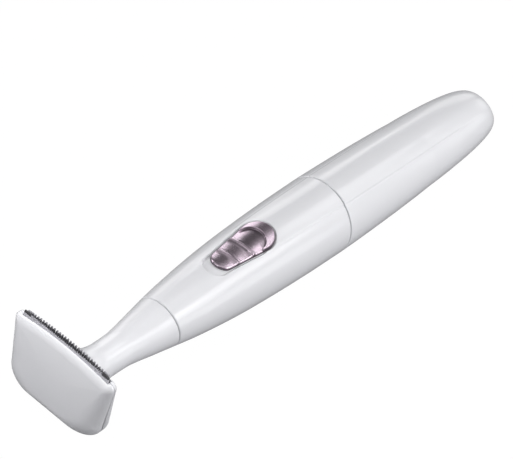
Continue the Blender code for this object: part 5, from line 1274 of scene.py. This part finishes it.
class TRIMMER_OT_switch_button(Operator):
    """Build the slide switch's button with its scoops, ridges and hood"""
    bl_idname = "trimmer.switch_button"
    bl_label = "Switch button"

    def execute(self, context):
        sizes, switch = context.scene.trimmer_handle, context.scene.trimmer_switch
        piece = make_piece("switch_button_skin", *switch_button_shell(sizes, switch), BUTTON_SHARP_EDGE)
        paint_button_shade(piece, switch)
        place_piece(piece, "switch_button")
        return {"FINISHED"}


class TRIMMER_OT_blades(Operator):
    """Give the comb, the cutter and what holds them their finishes"""
    bl_idname = "trimmer.blades"
    bl_label = "Blades"

    def execute(self, context):
        dress_nodes(("fixed_comb", "moving_cutter", "comb_screw_left", "comb_screw_right",
                     "cutter_carrier", "blade_spring"))
        return {"FINISHED"}


class TRIMMER_OT_drive(Operator):
    """Give the lever, the motor and the turning pieces their finishes"""
    bl_idname = "trimmer.drive"
    bl_label = "Drive"

    def execute(self, context):
        dress_nodes(("drive_lever", "pivot_pin", "motor_cradle", "motor_can", "motor_magnet_left",
                     "motor_magnet_right", "motor_end_cap", "motor_terminal_left", "motor_terminal_right",
                     "motor_screw_left", "motor_screw_right", "motor_shaft", "motor_rotor",
                     "eccentric_hub", "eccentric_pin"))
        return {"FINISHED"}


class TRIMMER_OT_power(Operator):
    """Give the cell, its contacts, the switch's inner pieces, the leads and the seals their finishes"""
    bl_idname = "trimmer.power"
    bl_label = "Power"

    def execute(self, context):
        dress_nodes(("battery_tube", "battery_cell", "positive_contact", "battery_strip", "motor_strip",
                     "negative_strip", "switch_plate", "switch_carriage", "switch_contact", "lead_positive",
                     "lead_negative", "cap_seal", "head_seal", "spring_holder", "battery_spring",
                     "spring_plate"))
        return {"FINISHED"}


def stood(right, up, back, place):
    """Matrix of an object at a place with its own three axes."""
    return Matrix([[right[i], up[i], back[i], place[i]] for i in range(3)] + [[0, 0, 0, 1]])


def soft_light(name, place, aim, size, watts):
    """A soft area light at a place, turned to a point that isn't straight below it."""
    data = bpy.data.lights.new(name, "AREA")
    data.shape = "RECTANGLE"
    data.size, data.size_y = size
    data.energy = watts
    light = bpy.data.objects.new(name, data)
    back = np.array(place, dtype=float) - np.array(aim, dtype=float)
    back = back / np.linalg.norm(back)
    right = np.cross((0, 0, 1), back)
    right = right / np.linalg.norm(right)
    light.matrix_world = stood(right, np.cross(back, right), back, place)
    light.visible_camera = False
    bpy.context.scene.collection.objects.link(light)


def build_floor(stage):
    """A pale floor that reflects and is lit like paper, and glows evenly for the camera."""
    ways = np.linspace(-FLOOR_HALF, FLOOR_HALF, FLOOR_POINTS)
    along, across = np.meshgrid(ways, ways, indexing="ij")
    points = np.stack([along, across, 0 * along], axis=-1)
    floor = make_piece("studio_floor", points, grid_faces(FLOOR_POINTS, FLOOR_POINTS, False))
    if floor.data.polygons[0].normal.z < 0:
        floor.data.flip_normals()
    material = finish("floor_paper", moulded_group, stage.floor, stage.floor, *PAPER)
    tree = material.node_tree
    glow = node(tree, "ShaderNodeEmission", {"Strength": stage.glow})
    for_camera = node(tree, "ShaderNodeLightPath").outputs["Is Camera Ray"]
    seen = node(tree, "ShaderNodeMath", {0: for_camera, 1: FLOOR_GLOWS}, operation="MULTIPLY")
    mix = node(tree, "ShaderNodeMixShader", {
        0: seen.outputs[0], 1: tree.nodes["Principled BSDF"].outputs[0], 2: glow.outputs[0]})
    feed(tree, tree.nodes["Material Output"], {"Surface": mix.outputs[0]})
    floor.data.materials.append(material)


def build_surround(scene, stage):
    """Soft light from all round, brighter from above, with one dark flag in it."""
    world = bpy.data.worlds.new("Studio surround")
    scene.world = world
    world.use_nodes = True
    tree = world.node_tree
    way = node(tree, "ShaderNodeTexCoord").outputs["Generated"]
    split = node(tree, "ShaderNodeSeparateXYZ", {0: way})
    sky = node(tree, "ShaderNodeValToRGB", {0: split.outputs["Z"]})
    low, high = sky.color_ramp.elements
    low.color, high.color = SKY_LOW, SKY_HIGH
    high.position = SKY_HIGH_FROM
    facing = node(tree, "ShaderNodeVectorMath", {0: way, 1: FLAG_DIRECTION}, operation="DOT_PRODUCT")
    flag = node(
        tree, "ShaderNodeMapRange",
        {"Value": facing.outputs["Value"], "From Min": FLAG_COSINES[0], "From Max": FLAG_COSINES[1],
         "To Min": 1.0, "To Max": FLAG_LEFT},
        interpolation_type="SMOOTHSTEP")
    feed(tree, tree.nodes["Background"], {
        "Color": darkened(tree, sky.outputs[0], flag.outputs["Result"]), "Strength": stage.surround})


def build_lights(stage):
    """Softboxes all round the trimmer, aimed at its middle, and small lights close by."""
    for turn, rise, side, watts in SOFTBOXES:
        turned, raised = math.radians(turn), math.radians(rise)
        reach = LIGHT_REACH * math.cos(raised)
        height = LIGHT_REACH * math.sin(raised) + LIGHT_LIFT
        place = (reach * math.cos(turned), reach * math.sin(turned), height)
        soft_light(f"softbox_{turn}_{rise}", place, (0, 0, 0), (side, side), watts * stage.power)
    for count, (place, aim, size, watts) in enumerate(NEAR_LIGHTS):
        soft_light(f"near_light_{count + 1}", place, aim, size, watts * stage.power)


def build_camera(scene, stage):
    """The camera that the photo was fitted with."""
    data = bpy.data.cameras.new("photo_camera")
    data.sensor_width = SENSOR_WIDTH
    data.lens = stage.lens
    data.shift_x = stage.shift_x
    data.shift_y = stage.shift_y
    data.clip_start = CLIP_START
    camera = bpy.data.objects.new("photo_camera", data)
    camera.matrix_world = stood(CAMERA_RIGHT, CAMERA_UP, CAMERA_BACK, stage.camera_place)
    scene.collection.objects.link(camera)
    scene.camera = camera
    scene.view_settings.view_transform = "Standard"


class TRIMMER_OT_stage(Operator):
    """Build the pale floor, the soft studio light and the camera"""
    bl_idname = "trimmer.stage"
    bl_label = "Stage"

    def execute(self, context):
        stage = context.scene.trimmer_stage
        build_floor(stage)
        build_surround(context.scene, stage)
        build_lights(stage)
        build_camera(context.scene, stage)
        return {"FINISHED"}


class TRIMMER_PT_panel(Panel):
    """Lists the trimmer's pieces in the sidebar"""
    bl_idname = "TRIMMER_PT_panel"
    bl_label = "Hair trimmer"
    bl_space_type = "VIEW_3D"
    bl_region_type = "UI"
    bl_category = "Trimmer"

    def draw(self, context):
        for operator in OPERATORS:
            self.layout.operator(operator.bl_idname)
        for name in GROUPS:
            settings = getattr(context.scene, name)
            box = self.layout.box()
            for key in settings.__annotations__:
                box.prop(settings, key)


GROUPS = {
    "trimmer_handle": HandleSizes,
    "trimmer_head": HeadSizes,
    "trimmer_switch": SwitchSizes,
    "trimmer_colours": FinishColours,
    "trimmer_stage": StageSettings,
}
OPERATORS = (
    TRIMMER_OT_front_housing,
    TRIMMER_OT_rear_cap,
    TRIMMER_OT_neck_shell,
    TRIMMER_OT_head_cover,
    TRIMMER_OT_switch_button,
    TRIMMER_OT_blades,
    TRIMMER_OT_drive,
    TRIMMER_OT_power,
    TRIMMER_OT_stage,
)


def register():
    """Register the classes, and hang the settings on the scene."""
    for kind in (*GROUPS.values(), *OPERATORS, TRIMMER_PT_panel):
        bpy.utils.register_class(kind)
    for name, kind in GROUPS.items():
        setattr(bpy.types.Scene, name, PointerProperty(type=kind))


def unregister():
    """Undo what register did."""
    for name in GROUPS:
        delattr(bpy.types.Scene, name)
    for kind in (TRIMMER_PT_panel, *reversed(OPERATORS), *GROUPS.values()):
        bpy.utils.unregister_class(kind)


def main():
    """Build every piece and the stage."""
    register()
    bpy.ops.trimmer.front_housing()
    bpy.ops.trimmer.rear_cap()
    bpy.ops.trimmer.neck_shell()
    bpy.ops.trimmer.head_cover()
    bpy.ops.trimmer.switch_button()
    bpy.ops.trimmer.blades()
    bpy.ops.trimmer.drive()
    bpy.ops.trimmer.power()
    bpy.ops.trimmer.stage()


if __name__ == "__main__":
    main()
